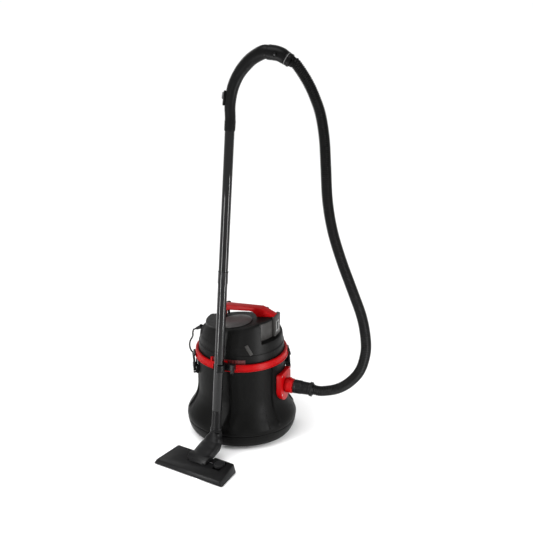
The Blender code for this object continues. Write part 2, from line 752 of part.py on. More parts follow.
def make_latch_seats():
    """A bracket with two ears on each side of the tank, for the latch pins."""
    x, z = LATCH_PIVOT.x, LATCH_PIVOT.z
    for name, sign in (("latch_seat_right", 1), ("latch_seat_left", -1)):
        back = TANK_RADIUS + 0.0010
        seat = block(name, (0.0140, 0.060, 0.030), (back - 0.0030, 0, 0.2480))
        for side in (-1, 1):
            ear = block("ear", (0.0220, 0.005, 0.016), (x - 0.0065, side * (LATCH_HALF + 0.0035), z))
            boolean(seat, ear, "UNION")
        boolean(seat, rod("pin_bore", 0.0021, (x, -0.05, z), (x, 0.05, z), 16))
        wall = TANK_RADIUS + 0.0013
        boolean(seat, turned("tank_clearance", [(0, 0.31), (wall, 0.31), (wall, 0.20), (0, 0.20)], 96,
                             closed=False))
        turn_solid(seat, latch_turn(sign))
        add(seat, black_plastic())


def make_latch_pins():
    x, z = LATCH_PIVOT.x, LATCH_PIVOT.z
    for name, sign in (("latch_pin_right", 1), ("latch_pin_left", -1)):
        pin = rod(name, 0.0018, (x, -0.0285, z), (x, 0.0285, z), 12)
        turn_solid(pin, latch_turn(sign))
        add(pin, steel())


def make_wand_clip(wand):
    """A C-shaped holder on the band's front, open to the front left, which grips the lower tube."""
    middle = (0.3205 - WAND_ORIGIN.z) / math.cos(WAND_LEAN)
    low, high = middle - 0.012, middle + 0.012
    inner, outer = TUBE_RADIUS + 0.0006, TUBE_RADIUS + 0.0046
    clip = turned("wand_clip", [(outer, high), (outer, low), (inner, low), (inner, high)], 32)
    mouth = block("mouth", (0.030, 0.022, 0.060), (0, -0.018, middle))
    mouth.data.transform(Matrix.Rotation(math.radians(-42), 4, "Z"))
    add(clip, dark_trim(), wand)
    boolean(clip, mouth)
    arm = block("arm", (0.052, 0.0200, 0.022), (0.020, 0.0280, middle))
    boolean(clip, arm, "UNION")
    tab = block("tab", (0.011, 0.010, 0.030), (0.0435, 0.0160, middle - 0.003))
    boolean(clip, tab, "UNION")
    reach = BAND_RADIUS + GAP
    drum = turned("drum_clearance", [(0, 0.40), (reach, 0.40), (reach, 0.2985), (reach + BEAD, 0.2985),
                                     (reach + BEAD, 0.25), (0, 0.25)], 48, closed=False)
    drum.data.transform(wand.matrix_basis.inverted())
    boolean(clip, drum)
    return clip


# ---------------------------------------------------------------- wand
def make_lower_tube(wand):
    """Its lower end takes the neck, and its upper end is widened to take the upper tube."""
    r, wall, foot = TUBE_RADIUS, TUBE_WALL, TUBE_FOOT
    top = foot + TUBE_LENGTH
    socket = top - TUBE_OVERLAP - 0.006
    profile = [(r + 0.0013, top), (r + 0.0013, socket), (r, socket - 0.006), (r, foot), (r - wall, foot),
               (r - wall, socket - 0.006), (r + 0.0013 - wall, socket), (r + 0.0013 - wall, top)]
    return add(turned("lower_tube", profile, 24), tube_black(), wand)


def make_upper_tube(wand):
    r, wall = TUBE_RADIUS, TUBE_WALL
    foot = TUBE_FOOT + TUBE_LENGTH - TUBE_OVERLAP
    top = foot + TUBE_LENGTH + 0.012
    profile = [(r, top), (r, foot + TUBE_OVERLAP + 0.006), (r - 0.0003, foot + TUBE_OVERLAP),
               (r - 0.0003, foot), (r - wall, foot), (r - wall, top)]
    add(turned("upper_tube", profile, 24), tube_black(), wand)
    return top


def make_neck(wand):
    """The hollow neck: a spigot inside the tube, a straight pipe and a collar at its foot."""
    low, collar, top = NECK_FOOT + 0.0140, NECK_FOOT + 0.026, TUBE_FOOT + 0.028
    r = TUBE_RADIUS - TUBE_WALL - GAP
    profile = [(r, top), (r, TUBE_FOOT), (TUBE_RADIUS, TUBE_FOOT - GAP), (TUBE_RADIUS, collar + 0.002),
               (0.0195, collar), (0.0195, low), (0.0120, low), (0.0120, top)]
    return add(turned("neck", profile, 20), dark_trim(), wand)


def wand_height(distance):
    """A point on the wand's axis in the drum's frame, at a distance from the wand's origin."""
    return WAND_ORIGIN + distance * Vector((0, math.sin(WAND_LEAN), math.cos(WAND_LEAN)))


GRIP_FOOT = TUBE_FOOT + 2 * TUBE_LENGTH - TUBE_OVERLAP + 0.012
CONNECTOR_LINE = [Vector((0.1270, -0.0660, 1.3855)), Vector((0.1480, -0.0660, 1.3850)),
                  Vector((0.1680, -0.0660, 1.3815)), Vector((0.1855, -0.0660, 1.3727))]


def make_handle_grip():
    """The curved pipe that the hand holds, from the upper tube's top over to the connector."""
    foot, end = wand_height(GRIP_FOOT + GAP), CONNECTOR_LINE[0]
    along = (CONNECTOR_LINE[1] - end).normalized()
    line = smooth_route([foot, wand_height(GRIP_FOOT + 0.040), (-0.001, -0.076, 1.205),
                         (0.008, -0.072, 1.262), (0.030, -0.069, 1.311), (0.063, -0.067, 1.352),
                         (0.092, -0.066, 1.374), end - along * 0.012], 0.026)
    grip = pipe("handle_grip", line + [end - along * 0.0012], GRIP_RADIUS, 4)
    collar = rod("grip_collar", GRIP_RADIUS + 0.0012, foot + Vector((0, 0, 0.001)),
                 wand_height(GRIP_FOOT + 0.022), 24)
    boolean(add(grip, dark_trim()), collar, "UNION")
    return grip


SLIDER_PLACE = Vector((-0.0200, -0.0850, 1.2320))
SLIDER_AXIS = Vector((0.10, 0.06, 0.99)).normalized()


def make_air_slider():
    """The ribbed shutter over the grip's air hole, with its raised frame."""
    outward = Vector((-0.80, -0.60, 0.13))
    outward = (outward - SLIDER_AXIS * outward.dot(SLIDER_AXIS)).normalized()
    across = outward.cross(SLIDER_AXIS)
    turn = Matrix((across, outward, SLIDER_AXIS)).transposed().to_4x4()
    place = Matrix.Translation(SLIDER_PLACE) @ turn
    rail = block("slider_rail", (0.014, 0.0035, 0.052), (0, -0.0010, -0.004))
    rail.data.transform(place)
    add(bevel(rail, 0.001, 1), dark_trim())
    slider = block("air_slider", (0.011, 0.0035, 0.024), (0, 0.0028, 0.004))
    for i in range(5):
        rib = block("rib", (0.0102, 0.0020, 0.0016), (0, 0.0050, 0.004 + 0.0042 * (i - 2)))
        boolean(slider, rib, "UNION")
    for one in [slider] + tools_of(slider):
        one.data.transform(place)
    return add(slider, grey_plastic())


def make_hose_connector():
    """The bent fitting from the grip to the hose's collar, with a hump along its top."""
    body = add(pipe("hose_connector", CONNECTOR_LINE, [0.0235, 0.0235, 0.0230, 0.0215], 4), dark_trim())
    up = Vector((0, 0, 1))
    hump = [point + up * 0.0135 for point in CONNECTOR_LINE]
    boolean(body, pipe("hump", hump[:3], [0.0105, 0.0120, 0.0100], 3), "UNION")
    centre = CONNECTOR_LINE[1].lerp(CONNECTOR_LINE[2], 0.5) + up * 0.002
    side = Vector((0, -1, 0))
    pin = rod("connector_pin", 0.0052, centre + side * 0.0245, centre + side * 0.0285, 16)
    return add(pin, grey_plastic())


def make_swivel_collar():
    """The ring that lets the hose turn in the connector."""
    start, end = CONNECTOR_LINE[-1], Vector(HOSE_ROUTE[-1])
    along = (start - CONNECTOR_LINE[-2]).normalized()
    length = (end - start).length - 0.0016
    profile = [(0.0185, length), (0.0208, length - 0.004), (0.0208, 0.004), (0.0190, 0.0), (0.0150, 0.0),
               (0.0150, length)]
    collar = turned("swivel_collar", profile, 24, place=lathe_place(start + along * GAP, along))
    return add(collar, dark_trim())


# ---------------------------------------------------------------- floor head
def nozzle_point(across, back, height):
    """A point in the drum's frame from the floor head's own directions."""
    foot = wand_height(NECK_FOOT)
    ahead = Vector((-math.sin(HEAD_YAW), math.cos(HEAD_YAW), 0))
    right = Vector((math.cos(HEAD_YAW), math.sin(HEAD_YAW), 0))
    pivot = Vector((foot.x, foot.y, 0)) - ahead * NECK_REACH
    return pivot + right * across + ahead * (back - BARREL_FROM_MIDDLE) + Vector((0, 0, height))


def make_elbow():
    """The arm from the neck down to a barrel that lies across the nozzle."""
    route = [wand_height(NECK_FOOT + 0.0137), wand_height(NECK_FOOT + 0.004),
             nozzle_point(0, BARREL_FROM_MIDDLE + 0.074, 0.060),
             nozzle_point(0, BARREL_FROM_MIDDLE + 0.050, 0.046),
             nozzle_point(0, BARREL_FROM_MIDDLE + 0.020, 0.033),
             nozzle_point(0, BARREL_FROM_MIDDLE, BARREL_HEIGHT)]
    arm = pipe("elbow", route, [0.0190, 0.0195, 0.0210, 0.0222, 0.0225, 0.0220], 4)
    half = BARREL_LENGTH / 2
    barrel = rod("barrel", BARREL_RADIUS, nozzle_point(-half, BARREL_FROM_MIDDLE, BARREL_HEIGHT),
                 nozzle_point(half, BARREL_FROM_MIDDLE, BARREL_HEIGHT), 32)
    add(arm, dark_trim())
    boolean(arm, barrel, "UNION")
    half += 0.02
    bore = rod("barrel_bore", 0.0032, nozzle_point(-half, BARREL_FROM_MIDDLE, BARREL_HEIGHT),
               nozzle_point(half, BARREL_FROM_MIDDLE, BARREL_HEIGHT), 16)
    boolean(arm, bore)
    return arm


def make_barrel_pin():
    """The pin through the barrel, held in the nozzle at both ends."""
    half = BARREL_LENGTH / 2 + 0.012
    pin = rod("barrel_pin", 0.0029, nozzle_point(-half, BARREL_FROM_MIDDLE, BARREL_HEIGHT),
              nozzle_point(half, BARREL_FROM_MIDDLE, BARREL_HEIGHT), 12)
    return add(pin, steel())


PEDAL_AT = (0.081, 0.020)
PEDAL_SIZE = (0.028, 0.042)
MOUTH_AT = -0.022
MOUTH_SIZE = (0.200, 0.012)
BRUSHES = {"brush_front": -0.042, "brush_rear": -0.0095}
BRUSH_LENGTH = 0.242
BRUSH_WIDTH = 0.0045


def make_nozzle(frame):
    """The floor head's shell: a wedge, low in front, with its ends drawn in and a rear cradle."""
    low, high = SOLE + GAP, NOZZLE_BACK
    body = block("nozzle_body", (NOZZLE_LENGTH, NOZZLE_DEPTH, high - low), (0, 0, (low + high) / 2))
    for vertex in body.data.vertices:
        top, front = vertex.co.z > (low + high) / 2, vertex.co.y < 0
        if top and front:
            vertex.co.z = NOZZLE_FRONT
            vertex.co.y += 0.003
        if top:
            vertex.co.x *= 1 - 0.022 / NOZZLE_LENGTH
        if not front:
            vertex.co.x *= 1 - 0.034 / NOZZLE_LENGTH
    bevel(body, 0.004, 2)
    add(body, dark_trim(), frame)
    boolean(body, cradle())
    half = BARREL_LENGTH / 2 + 0.014
    pins = rod("pin_bores", 0.0032, (-half, BARREL_FROM_MIDDLE, BARREL_HEIGHT),
               (half, BARREL_FROM_MIDDLE, BARREL_HEIGHT), 16)
    boolean(body, pins)
    well = block("pedal_well", (PEDAL_SIZE[0] + 0.002, PEDAL_SIZE[1] + 0.006, 0.040),
                 (PEDAL_AT[0], PEDAL_AT[1], 0.0345))
    boolean(body, well)
    boolean(body, block("mouth", (*MOUTH_SIZE, 0.030), (0, MOUTH_AT, -0.001)))
    for back in BRUSHES.values():
        boolean(body, brush_slot(back, 0.0155))
    return body


def brush_slot(back, top):
    return block("brush_slot", (BRUSH_LENGTH + 0.003, BRUSH_WIDTH + 0.0012, 2 * top), (0, back, 0))


def cradle():
    """The notch at the back that the barrel lies in, open behind for the elbow."""
    size = (BARREL_LENGTH + 0.0012, 0.100, 0.090)
    return block("cradle", size, (0, BARREL_FROM_MIDDLE - BARREL_RADIUS - 0.0008 + 0.050, 0.02))


def make_sole_plate(frame):
    sole = block("sole_plate", (NOZZLE_LENGTH - 0.020, NOZZLE_DEPTH - 0.006, SOLE), (0, 0, SOLE / 2))
    for vertex in sole.data.vertices:
        if vertex.co.y > 0:
            vertex.co.x *= 1 - 0.034 / NOZZLE_LENGTH
    add(sole, steel(), frame)
    boolean(sole, cradle())
    boolean(sole, block("mouth", (*MOUTH_SIZE, 0.020), (0, MOUTH_AT, 0)))
    for back in BRUSHES.values():
        boolean(sole, brush_slot(back, 0.0100))
    return sole


def make_brushes(frame):
    for name, back in BRUSHES.items():
        strip = block(name, (BRUSH_LENGTH, BRUSH_WIDTH, 0.0140), (0, back, 0.0080))
        add(strip, rubber(), frame)


def make_pedal(frame):
    """The rocking foot switch for the brushes, a rounded pad on a cross axis."""
    half_width, half_length = PEDAL_SIZE[0] / 2, PEDAL_SIZE[1] / 2
    straight = half_length - half_width
    outline = [*arc((0, straight), half_width, 0, 180, 11), *arc((0, -straight), half_width, 180, 360, 11)]
    pedal = plate("pedal", outline, 0.0110, Matrix.Translation((*PEDAL_AT, 0.0355)))
    return add(bevel(pedal, 0.0015, 1), dark_trim(), frame)


# ---------------------------------------------------------------- hose and lead
def make_hose():
    line = smooth_route(HOSE_ROUTE[1:-1], 2 * HOSE_DIAMETER)
    return add(pipe("hose", [HOSE_ROUTE[0]] + line + [HOSE_ROUTE[-1]], HOSE_DIAMETER / 2, 4), rubber())


def make_power_cord():
    route = smooth_route(CORD_ROUTE, 2.2 * CORD_DIAMETER)
    return add(pipe("power_cord", route, CORD_DIAMETER / 2, 2), rubber())


def make_cord_coil():
    """The wound-up length of the lead, as its outer shape."""
    half = COIL_TURNS_WIDE * CORD_DIAMETER / 2
    inner, outer = COIL_MEAN_RADIUS - half, COIL_MEAN_RADIUS + half
    top = COIL_TURNS_HIGH * CORD_DIAMETER
    ease = CORD_DIAMETER / 3
    profile = [(outer - ease, top), (outer, top - ease), (outer, ease), (outer - ease, 0),
               (inner + ease, 0), (inner, ease), (inner, top - ease), (inner + ease, top)]
    coil = turned("cord_coil", profile, 28, place=Matrix.Translation(COIL_CENTRE))
    return add(coil, rubber())


def make_plug():
    """A flat two-pin plug with its strain relief, lying beside the coil."""
    x = COIL_CENTRE.x + COIL_MEAN_RADIUS + (COIL_TURNS_WIDE + 1) * CORD_DIAMETER / 2 + 0.0008
    y, z = COIL_CENTRE.y - 0.010, 0.0085
    plug = block("plug", (0.030, 0.034, 0.0150), (x, y - 0.045, z))
    bevel(plug, 0.003, 2)
    add(plug, rubber())
    boolean(plug, rod("relief", 0.0040, (x, y, z), (x, y - 0.030, z), 16, 0.0062), "UNION")
    for sign in (-1, 1):
        pin = rod("pin", 0.0023, (x + sign * 0.0095, y - 0.060, z), (x + sign * 0.0095, y - 0.081, z), 12)
        boolean(plug, pin, "UNION")
    return plug


# ---------------------------------------------------------------- the whole vacuum
def main():
    global vacuum, parts, cutters
    clear_scene()
    parts = new_collection("shop_vacuum")
    cutters = new_collection("cutters")
    vacuum = empty("vacuum", DRUM_PLACE)
    wand = empty("wand_axis", WAND_ORIGIN, vacuum, (-WAND_LEAN, 0, 0))
    floor = empty("nozzle_axis", nozzle_point(0, 0, 0), vacuum, (0, 0, HEAD_YAW))

    make_tank()
    make_tank_gasket()
    make_base_plate()
    for index in range(CASTER_COUNT):
        make_caster(index)

    make_clamp_band()
    make_head_base()
    make_head_shell()
    make_top_cap()
    make_carry_handle()
    make_switch_block()
    make_switch_rocker()
    make_cord_hooks()
    make_cord_gland()

    make_motor()
    make_fan_housing()
    make_impeller()
    make_filter_cage()
    make_filter_sleeve()
    make_float_ball()

    make_inlet_port()
    make_inlet_deflector()
    make_tank_cuff()

    make_latch_seats()
    make_latch_pins()
    make_latch("latch_right", 1)
    make_latch("latch_left", -1)
    make_wand_clip(wand)

    make_lower_tube(wand)
    make_upper_tube(wand)
    make_neck(wand)
    make_handle_grip()
    make_air_slider()
    make_hose_connector()
    make_swivel_collar()

    make_elbow()
    make_barrel_pin()
    make_nozzle(floor)
    make_sole_plate(floor)
    make_brushes(floor)
    make_pedal(floor)

    make_hose()
    make_power_cord()
    make_cord_coil()
    make_plug()
    for obj in parts.objects:
        if obj.type == "MESH":
            smooth_sides(obj)


main()
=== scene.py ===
"""The shop vacuum's looks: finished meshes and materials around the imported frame.

Everything is in metres in the row frame. Most places are given from the drum's own axis,
with the front at -Y and angles counted from the front towards +X.
"""

import json
import math

import bmesh
import bpy
from mathutils import Matrix, Vector


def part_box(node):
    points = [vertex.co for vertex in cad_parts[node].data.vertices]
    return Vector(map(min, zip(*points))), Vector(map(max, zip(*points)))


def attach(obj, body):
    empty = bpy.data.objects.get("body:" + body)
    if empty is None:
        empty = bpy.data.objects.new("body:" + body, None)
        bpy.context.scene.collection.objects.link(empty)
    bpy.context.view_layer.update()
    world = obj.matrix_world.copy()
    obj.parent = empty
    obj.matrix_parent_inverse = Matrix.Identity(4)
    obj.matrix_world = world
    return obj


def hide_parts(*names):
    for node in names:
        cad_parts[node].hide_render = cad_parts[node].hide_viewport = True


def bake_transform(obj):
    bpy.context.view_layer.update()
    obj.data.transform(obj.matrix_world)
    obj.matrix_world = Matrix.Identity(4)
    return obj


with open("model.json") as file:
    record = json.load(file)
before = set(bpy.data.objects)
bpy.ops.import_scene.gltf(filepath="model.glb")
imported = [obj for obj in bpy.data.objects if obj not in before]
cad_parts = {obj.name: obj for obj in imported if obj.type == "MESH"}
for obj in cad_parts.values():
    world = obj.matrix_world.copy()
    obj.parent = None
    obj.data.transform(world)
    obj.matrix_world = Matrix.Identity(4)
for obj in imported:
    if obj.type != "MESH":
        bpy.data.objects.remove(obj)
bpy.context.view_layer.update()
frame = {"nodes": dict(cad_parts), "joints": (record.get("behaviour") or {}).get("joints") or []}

# ---------------------------------------------------------------- places taken from the frame
def middle(node):
    low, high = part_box(node)
    return (Vector(low) + Vector(high)) / 2


def joint(name):
    return next(j for j in frame["joints"] if j["name"] == name)


DRUM = Vector((middle("clamp_band").x, middle("clamp_band").y, 0))
BAND_BOTTOM, BAND_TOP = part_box("clamp_band")[0][2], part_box("clamp_band")[1][2]
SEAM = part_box("base_plate")[1][2]
HEAD_TOP = 0.4335                      # at the drum's axis; the top climbs to the right
TOP_SLOPE = 0.16
SLOPE_START = 0.386                    # below this height the head is level
DECK_HEIGHT = 0.392                    # lower deck behind the handle
DECK_EDGE, DECK_STEP = 0.016, 0.022    # where the deck's step starts, and how far it runs
CAP_X, CAP_Y, CAP_RISE = 0.003, -0.058, 0.0088
SURFACE_GAP = 0.0004                   # between the head and the pieces that sit on it
TANK_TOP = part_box("tank")[1][2]
WAND_DIRECTION = Vector(joint("wand_lift")["axis"]).normalized()
NECK_FOOT = Vector(joint("neck_swivel")["pos_m"])
BARREL = Vector(joint("head_tilt")["pos_m"])
ACROSS = Vector(joint("head_tilt")["axis"]).normalized()
BACK = Vector((0, 0, 1)).cross(ACROSS).normalized()
COLLAR_START = Vector(joint("collar_swivel")["pos_m"])
COLLAR_DIRECTION = Vector(joint("collar_swivel")["axis"]).normalized()
INLET_HEIGHT = joint("cuff_twist")["pos_m"][2]
SPIGOT_END = joint("cuff_twist")["pos_m"][0] - DRUM.x

HOSE_DIAMETER = 0.036
CORD_DIAMETER = 0.0065
SEEN_DIAMETER = CORD_DIAMETER - 0.0004   # keeps the finished lead inside the part's own

# The hose's and the lead's routes, from the drum's axis, as the part has them.
HOSE_ROUTE = [
    (0.2710, 0.000, 0.197), (0.300, 0.000, 0.197), (0.355, -0.001, 0.216), (0.400, -0.003, 0.250),
    (0.437, -0.006, 0.300), (0.456, -0.011, 0.360), (0.460, -0.016, 0.420), (0.446, -0.022, 0.507),
    (0.412, -0.030, 0.605), (0.374, -0.038, 0.709), (0.343, -0.043, 0.811), (0.326, -0.048, 0.914),
    (0.320, -0.053, 1.030), (0.315, -0.057, 1.120), (0.302, -0.060, 1.200), (0.281, -0.062, 1.258),
    (0.256, -0.064, 1.307), (0.2212, -0.066, 1.3547), (0.2050, -0.066, 1.3629),
]
CORD_ROUTE = [
    (-0.1730, 0.000, 0.3545), (-0.184, 0.003, 0.3480), (-0.195, 0.016, 0.330),
    (-0.203, 0.031, 0.306), (-0.2185, 0.043, 0.280), (-0.2265, 0.053, 0.256),
    (-0.2260, 0.063, 0.232), (-0.2185, 0.074, 0.217), (-0.208, 0.088, 0.208),
    (-0.199, 0.108, 0.188), (-0.191, 0.132, 0.155), (-0.182, 0.158, 0.114),
    (-0.174, 0.187, 0.070), (-0.168, 0.218, 0.033), (-0.162, 0.250, 0.0095),
    (-0.158, 0.283, 0.0037), (-0.1560, 0.308, 0.0036),
]
COIL_TURNS_WIDE = 4
COIL_TURNS_HIGH = 5
COIL_MEAN_RADIUS = 6 * CORD_DIAMETER
CROSSING = 0.7                         # the share of a turn after which it crosses to the next
PLUG_SIDE, PLUG_HEIGHT = COIL_MEAN_RADIUS + 0.0170, 0.0085


def from_drum(x, y, z):
    return DRUM + Vector((x, y, z))


def on_drum(degrees, radius, height):
    """A point at an angle from the front, towards +X, round the drum's axis."""
    turn = math.radians(degrees)
    return from_drum(radius * math.sin(turn), -radius * math.cos(turn), height)


def round_drum(degrees, x, y, z):
    """The matrix that turns a place about the drum's axis."""
    turn = Matrix.Rotation(math.radians(degrees), 4, "Z")
    return Matrix.Translation(DRUM) @ turn @ Matrix.Translation((x, y, z))


# ---------------------------------------------------------------- mesh tools
def clamped(value):
    return min(1.0, max(0.0, value))


def eased(share):
    return share * share * (3 - 2 * share)


def link(obj):
    bpy.context.scene.collection.objects.link(obj)
    return obj


def object_from(name, bm):
    bmesh.ops.recalc_face_normals(bm, faces=bm.faces)
    mesh = bpy.data.meshes.new(name)
    bm.to_mesh(mesh)
    bm.free()
    return link(bpy.data.objects.new(name, mesh))


def smooth(obj, degrees=32):
    obj.data.shade_smooth()
    obj.data.set_sharp_from_angle(angle=math.radians(degrees))
    return obj


def applied(obj, kind, **settings):
    """Adds one modifier with its settings and bakes it into the mesh."""
    modifier = obj.modifiers.new(kind.title(), kind)
    for name, value in settings.items():
        setattr(modifier, name, value)
    bpy.context.view_layer.update()
    graph = bpy.context.evaluated_depsgraph_get()
    mesh = bpy.data.meshes.new_from_object(obj.evaluated_get(graph))
    obj.modifiers.clear()
    old = obj.data
    obj.data = mesh
    bpy.data.meshes.remove(old)
    return obj


def bevelled(obj, width, segments=3, degrees=30):
    return applied(obj, "BEVEL", width=width, segments=segments, limit_method="ANGLE",
                   angle_limit=math.radians(degrees), use_clamp_overlap=True)


def cut(obj, tool):
    applied(obj, "BOOLEAN", object=tool, operation="DIFFERENCE", solver="EXACT")
    bpy.data.objects.remove(tool, do_unlink=True)
    return obj


def refined(node, width, segments=3, degrees=30):
    """A copy of a CAD node with its flats merged and its edges rounded, which stands for it."""
    bm = bmesh.new()
    bm.from_mesh(frame["nodes"][node].data)
    bmesh.ops.remove_doubles(bm, verts=bm.verts, dist=1e-6)
    bmesh.ops.dissolve_limit(bm, angle_limit=math.radians(1.0), verts=bm.verts, edges=bm.edges)
    obj = object_from(node + "_finish", bm)
    bevelled(obj, width, segments, degrees)
    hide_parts(node)
    return smooth(obj, 40)


def block(name, size, centre, turn=None):
    bm = bmesh.new()
    bmesh.ops.create_cube(bm, size=1.0)
    bmesh.ops.scale(bm, vec=size, verts=bm.verts)
    if turn is not None:
        bmesh.ops.transform(bm, matrix=turn, verts=bm.verts)
    bmesh.ops.translate(bm, vec=centre, verts=bm.verts)
    return object_from(name, bm)


def rod(name, radius, start, end, sides=32, end_radius=None):
    start, end = Vector(start), Vector(end)
    bm = bmesh.new()
    bmesh.ops.create_cone(bm, cap_ends=True, segments=sides, radius1=radius,
                          radius2=radius if end_radius is None else end_radius,
                          depth=(end - start).length)
    place = standing((start + end) / 2, end - start)
    bmesh.ops.transform(bm, matrix=place, verts=bm.verts)
    return object_from(name, bm)


def standing(point, direction):
    """The matrix that stands a shape's own +Z along a direction, at a point."""
    turn = Vector(direction).to_track_quat("Z", "Y").to_matrix().to_4x4()
    return Matrix.Translation(Vector(point)) @ turn


def directions(step, extra=()):
    """Angles from the front in degrees, even ones with extra ones at edges."""
    even = [-180 + step * i for i in range(round(360 / step))]
    extra = [(a + 180) % 360 - 180 for a in extra]
    kept = [a for a in even if all(abs(a - e) > 0.45 * step for e in extra)]
    return sorted(kept + extra)


def lathe(name, profile, angles=None, rule=None, place=None, closed=False):
    """Turns a (radius, height) profile; rule(radius, height, degrees) may push it in or out."""
    angles = angles or directions(3.75)
    bm = bmesh.new()
    columns = []
    for degrees in angles:
        turn = math.radians(degrees)
        column = []
        for radius, height in profile:
            r = rule(radius, height, degrees) if rule and radius > 1e-6 else radius
            column.append(bm.verts.new((r * math.sin(turn), -r * math.cos(turn), height)))
        columns.append(column)
    rows = len(profile)
    for left, right in zip(columns, columns[1:] + columns[:1]):
        for i in range(rows if closed else rows - 1):
            j = (i + 1) % rows
            bm.faces.new((left[i], right[i], right[j], left[j]))
    bmesh.ops.remove_doubles(bm, verts=bm.verts, dist=1e-7)
    bmesh.ops.transform(bm, matrix=place or Matrix.Translation(DRUM), verts=bm.verts)
    return object_from(name, bm)


def rounded(profile, radius, steps=3):
    """Rounds the inner corners of an open (radius, height) profile."""
    out = [profile[0]]
    for before, here, after in zip(profile, profile[1:], profile[2:]):
        p, h, n = Vector(before), Vector(here), Vector(after)
        back, ahead = (p - h), (n - h)
        reach = min(radius, back.length * 0.45, ahead.length * 0.45)
        start, end = h + back.normalized() * reach, h + ahead.normalized() * reach
        for i in range(steps + 1):
            t = i / steps
            point = (1 - t) ** 2 * start + 2 * t * (1 - t) * h + t * t * end
            out.append((point.x, point.y))
    return out + [profile[-1]]


def smooth_route(points, spacing):
    """Points at an even spacing on a smooth curve through a route's own points."""
    route = [Vector(p) for p in points]
    route = [2 * route[0] - route[1]] + route + [2 * route[-1] - route[-2]]
    fine = []
    for a, b, c, d in zip(route, route[1:], route[2:], route[3:]):
        for i in range(40):
            t = i / 40
            fine.append(0.5 * (2 * b + (c - a) * t + (2 * a - 5 * b + 4 * c - d) * t * t
                               + (3 * b - a - 3 * c + d) * t ** 3))
    fine.append(route[-2])
    return evenly(fine, spacing)


def evenly(fine, spacing):
    total = sum((q - p).length for p, q in zip(fine, fine[1:]))
    count = max(2, round(total / spacing))
    step = total / count
    even, walked = [fine[0]], 0.0
    for p, q in zip(fine, fine[1:]):
        length = (q - p).length
        while len(even) < count and walked + length >= step * len(even):
            even.append(p.lerp(q, (step * len(even) - walked) / length))
        walked += length
    return even + [fine[-1]]


def sweep(name, line, section, side=(0, -1, 0)):
    """Carries a ring of (side, up) offsets along a line; section(i, distance) gives the ring."""
    line = [Vector(p) for p in line]
    bm = bmesh.new()
    rings, walked, reference = [], 0.0, Vector(side)
    for i, point in enumerate(line):
        ahead = line[min(i + 1, len(line) - 1)] - line[max(i - 1, 0)]
        tangent = ahead.normalized()
        reference = (reference - tangent * reference.dot(tangent)).normalized()
        other = tangent.cross(reference)
        if i:
            walked += (point - line[i - 1]).length
        rings.append([bm.verts.new(point + reference * u + other * v) for u, v in section(i, walked)])
    for ring, after in zip(rings, rings[1:]):
        for k in range(len(ring)):
            m = (k + 1) % len(ring)
            bm.faces.new((ring[k], ring[m], after[m], after[k]))
    bm.faces.new(rings[0][::-1])
    bm.faces.new(rings[-1])
    return object_from(name, bm)


def oval(width, height, sides=32, power=2.0):
    """A ring of offsets, round for power 2 and squarer above it."""
    ring = []
    for k in range(sides):
        turn = 2 * math.pi * k / sides
        c, s = math.cos(turn), math.sin(turn)
        ring.append((width / 2 * math.copysign(abs(c) ** (2 / power), c),
                     height / 2 * math.copysign(abs(s) ** (2 / power), s)))
    return ring


def between(table, distance):
    """Reads a table of (distance, value, ...) rows smoothly."""
    if distance <= table[0][0]:
        return table[0][1:]
    for low, high in zip(table, table[1:]):
        if distance <= high[0]:
            t = (distance - low[0]) / (high[0] - low[0])
            t = eased(t)
            return tuple(a + (b - a) * t for a, b in zip(low[1:], high[1:]))
    return table[-1][1:]


def joined(name, objects):
    bm = bmesh.new()
    for obj in objects:
        bm.from_mesh(obj.data)
        bpy.data.objects.remove(obj, do_unlink=True)
    return object_from(name, bm)


# ---------------------------------------------------------------- materials
class Graph:
    """A small helper for writing a material's nodes."""

    def __init__(self, name):
        self.mat = bpy.data.materials.new(name)
        self.mat.use_nodes = True
        self.nodes, self.links = self.mat.node_tree.nodes, self.mat.node_tree.links
        self.shader = self.nodes["Principled BSDF"]
        self.place = self.nodes.new("ShaderNodeTexCoord").outputs["Object"]

    def node(self, kind, inputs=None, **settings):
        node = self.nodes.new(kind)
        for name, value in settings.items():
            setattr(node, name, value)
        for name, value in (inputs or {}).items():
            if isinstance(value, bpy.types.NodeSocket):
                self.links.new(value, node.inputs[name])
            else:
                node.inputs[name].default_value = value
        return node

    def noise(self, scale, detail=2.0, rough=0.5, stretch=None):
        vector = self.place
        if stretch:
            vector = self.node("ShaderNodeMapping", {"Vector": self.place, "Scale": stretch}).outputs[0]
        return self.node("ShaderNodeTexNoise", {"Vector": vector, "Scale": scale, "Detail": detail,
                                                "Roughness": rough}).outputs[0]

    def ramp(self, value, low, high, start=0.3, end=0.7):
        node = self.node("ShaderNodeValToRGB", {"Fac": value})
        node.color_ramp.elements[0].position, node.color_ramp.elements[1].position = start, end
        node.color_ramp.elements[0].color, node.color_ramp.elements[1].color = (*low, 1), (*high, 1)
        return node.outputs[0]

    def spread(self, value, low, high):
        return self.node("ShaderNodeMapRange", {"Value": value, "From Min": 0.3, "From Max": 0.7,
                                                "To Min": low, "To Max": high}).outputs[0]

    def bump(self, height, strength, distance, before=None):
        inputs = {"Height": height, "Strength": strength, "Distance": distance}
        if before is not None:
            inputs["Normal"] = before
        return self.node("ShaderNodeBump", inputs).outputs[0]

    def finish(self, colour=None, roughness=None, normal=None, **constants):
        for socket, value in (("Base Color", colour), ("Roughness", roughness), ("Normal", normal)):
            if isinstance(value, bpy.types.NodeSocket):
                self.links.new(value, self.shader.inputs[socket])
        for name, value in constants.items():
            self.shader.inputs[name.replace("_", " ")].default_value = value
        return self.mat


def scaled(colour, factor):
    return tuple(min(1.0, c * factor) for c in colour)


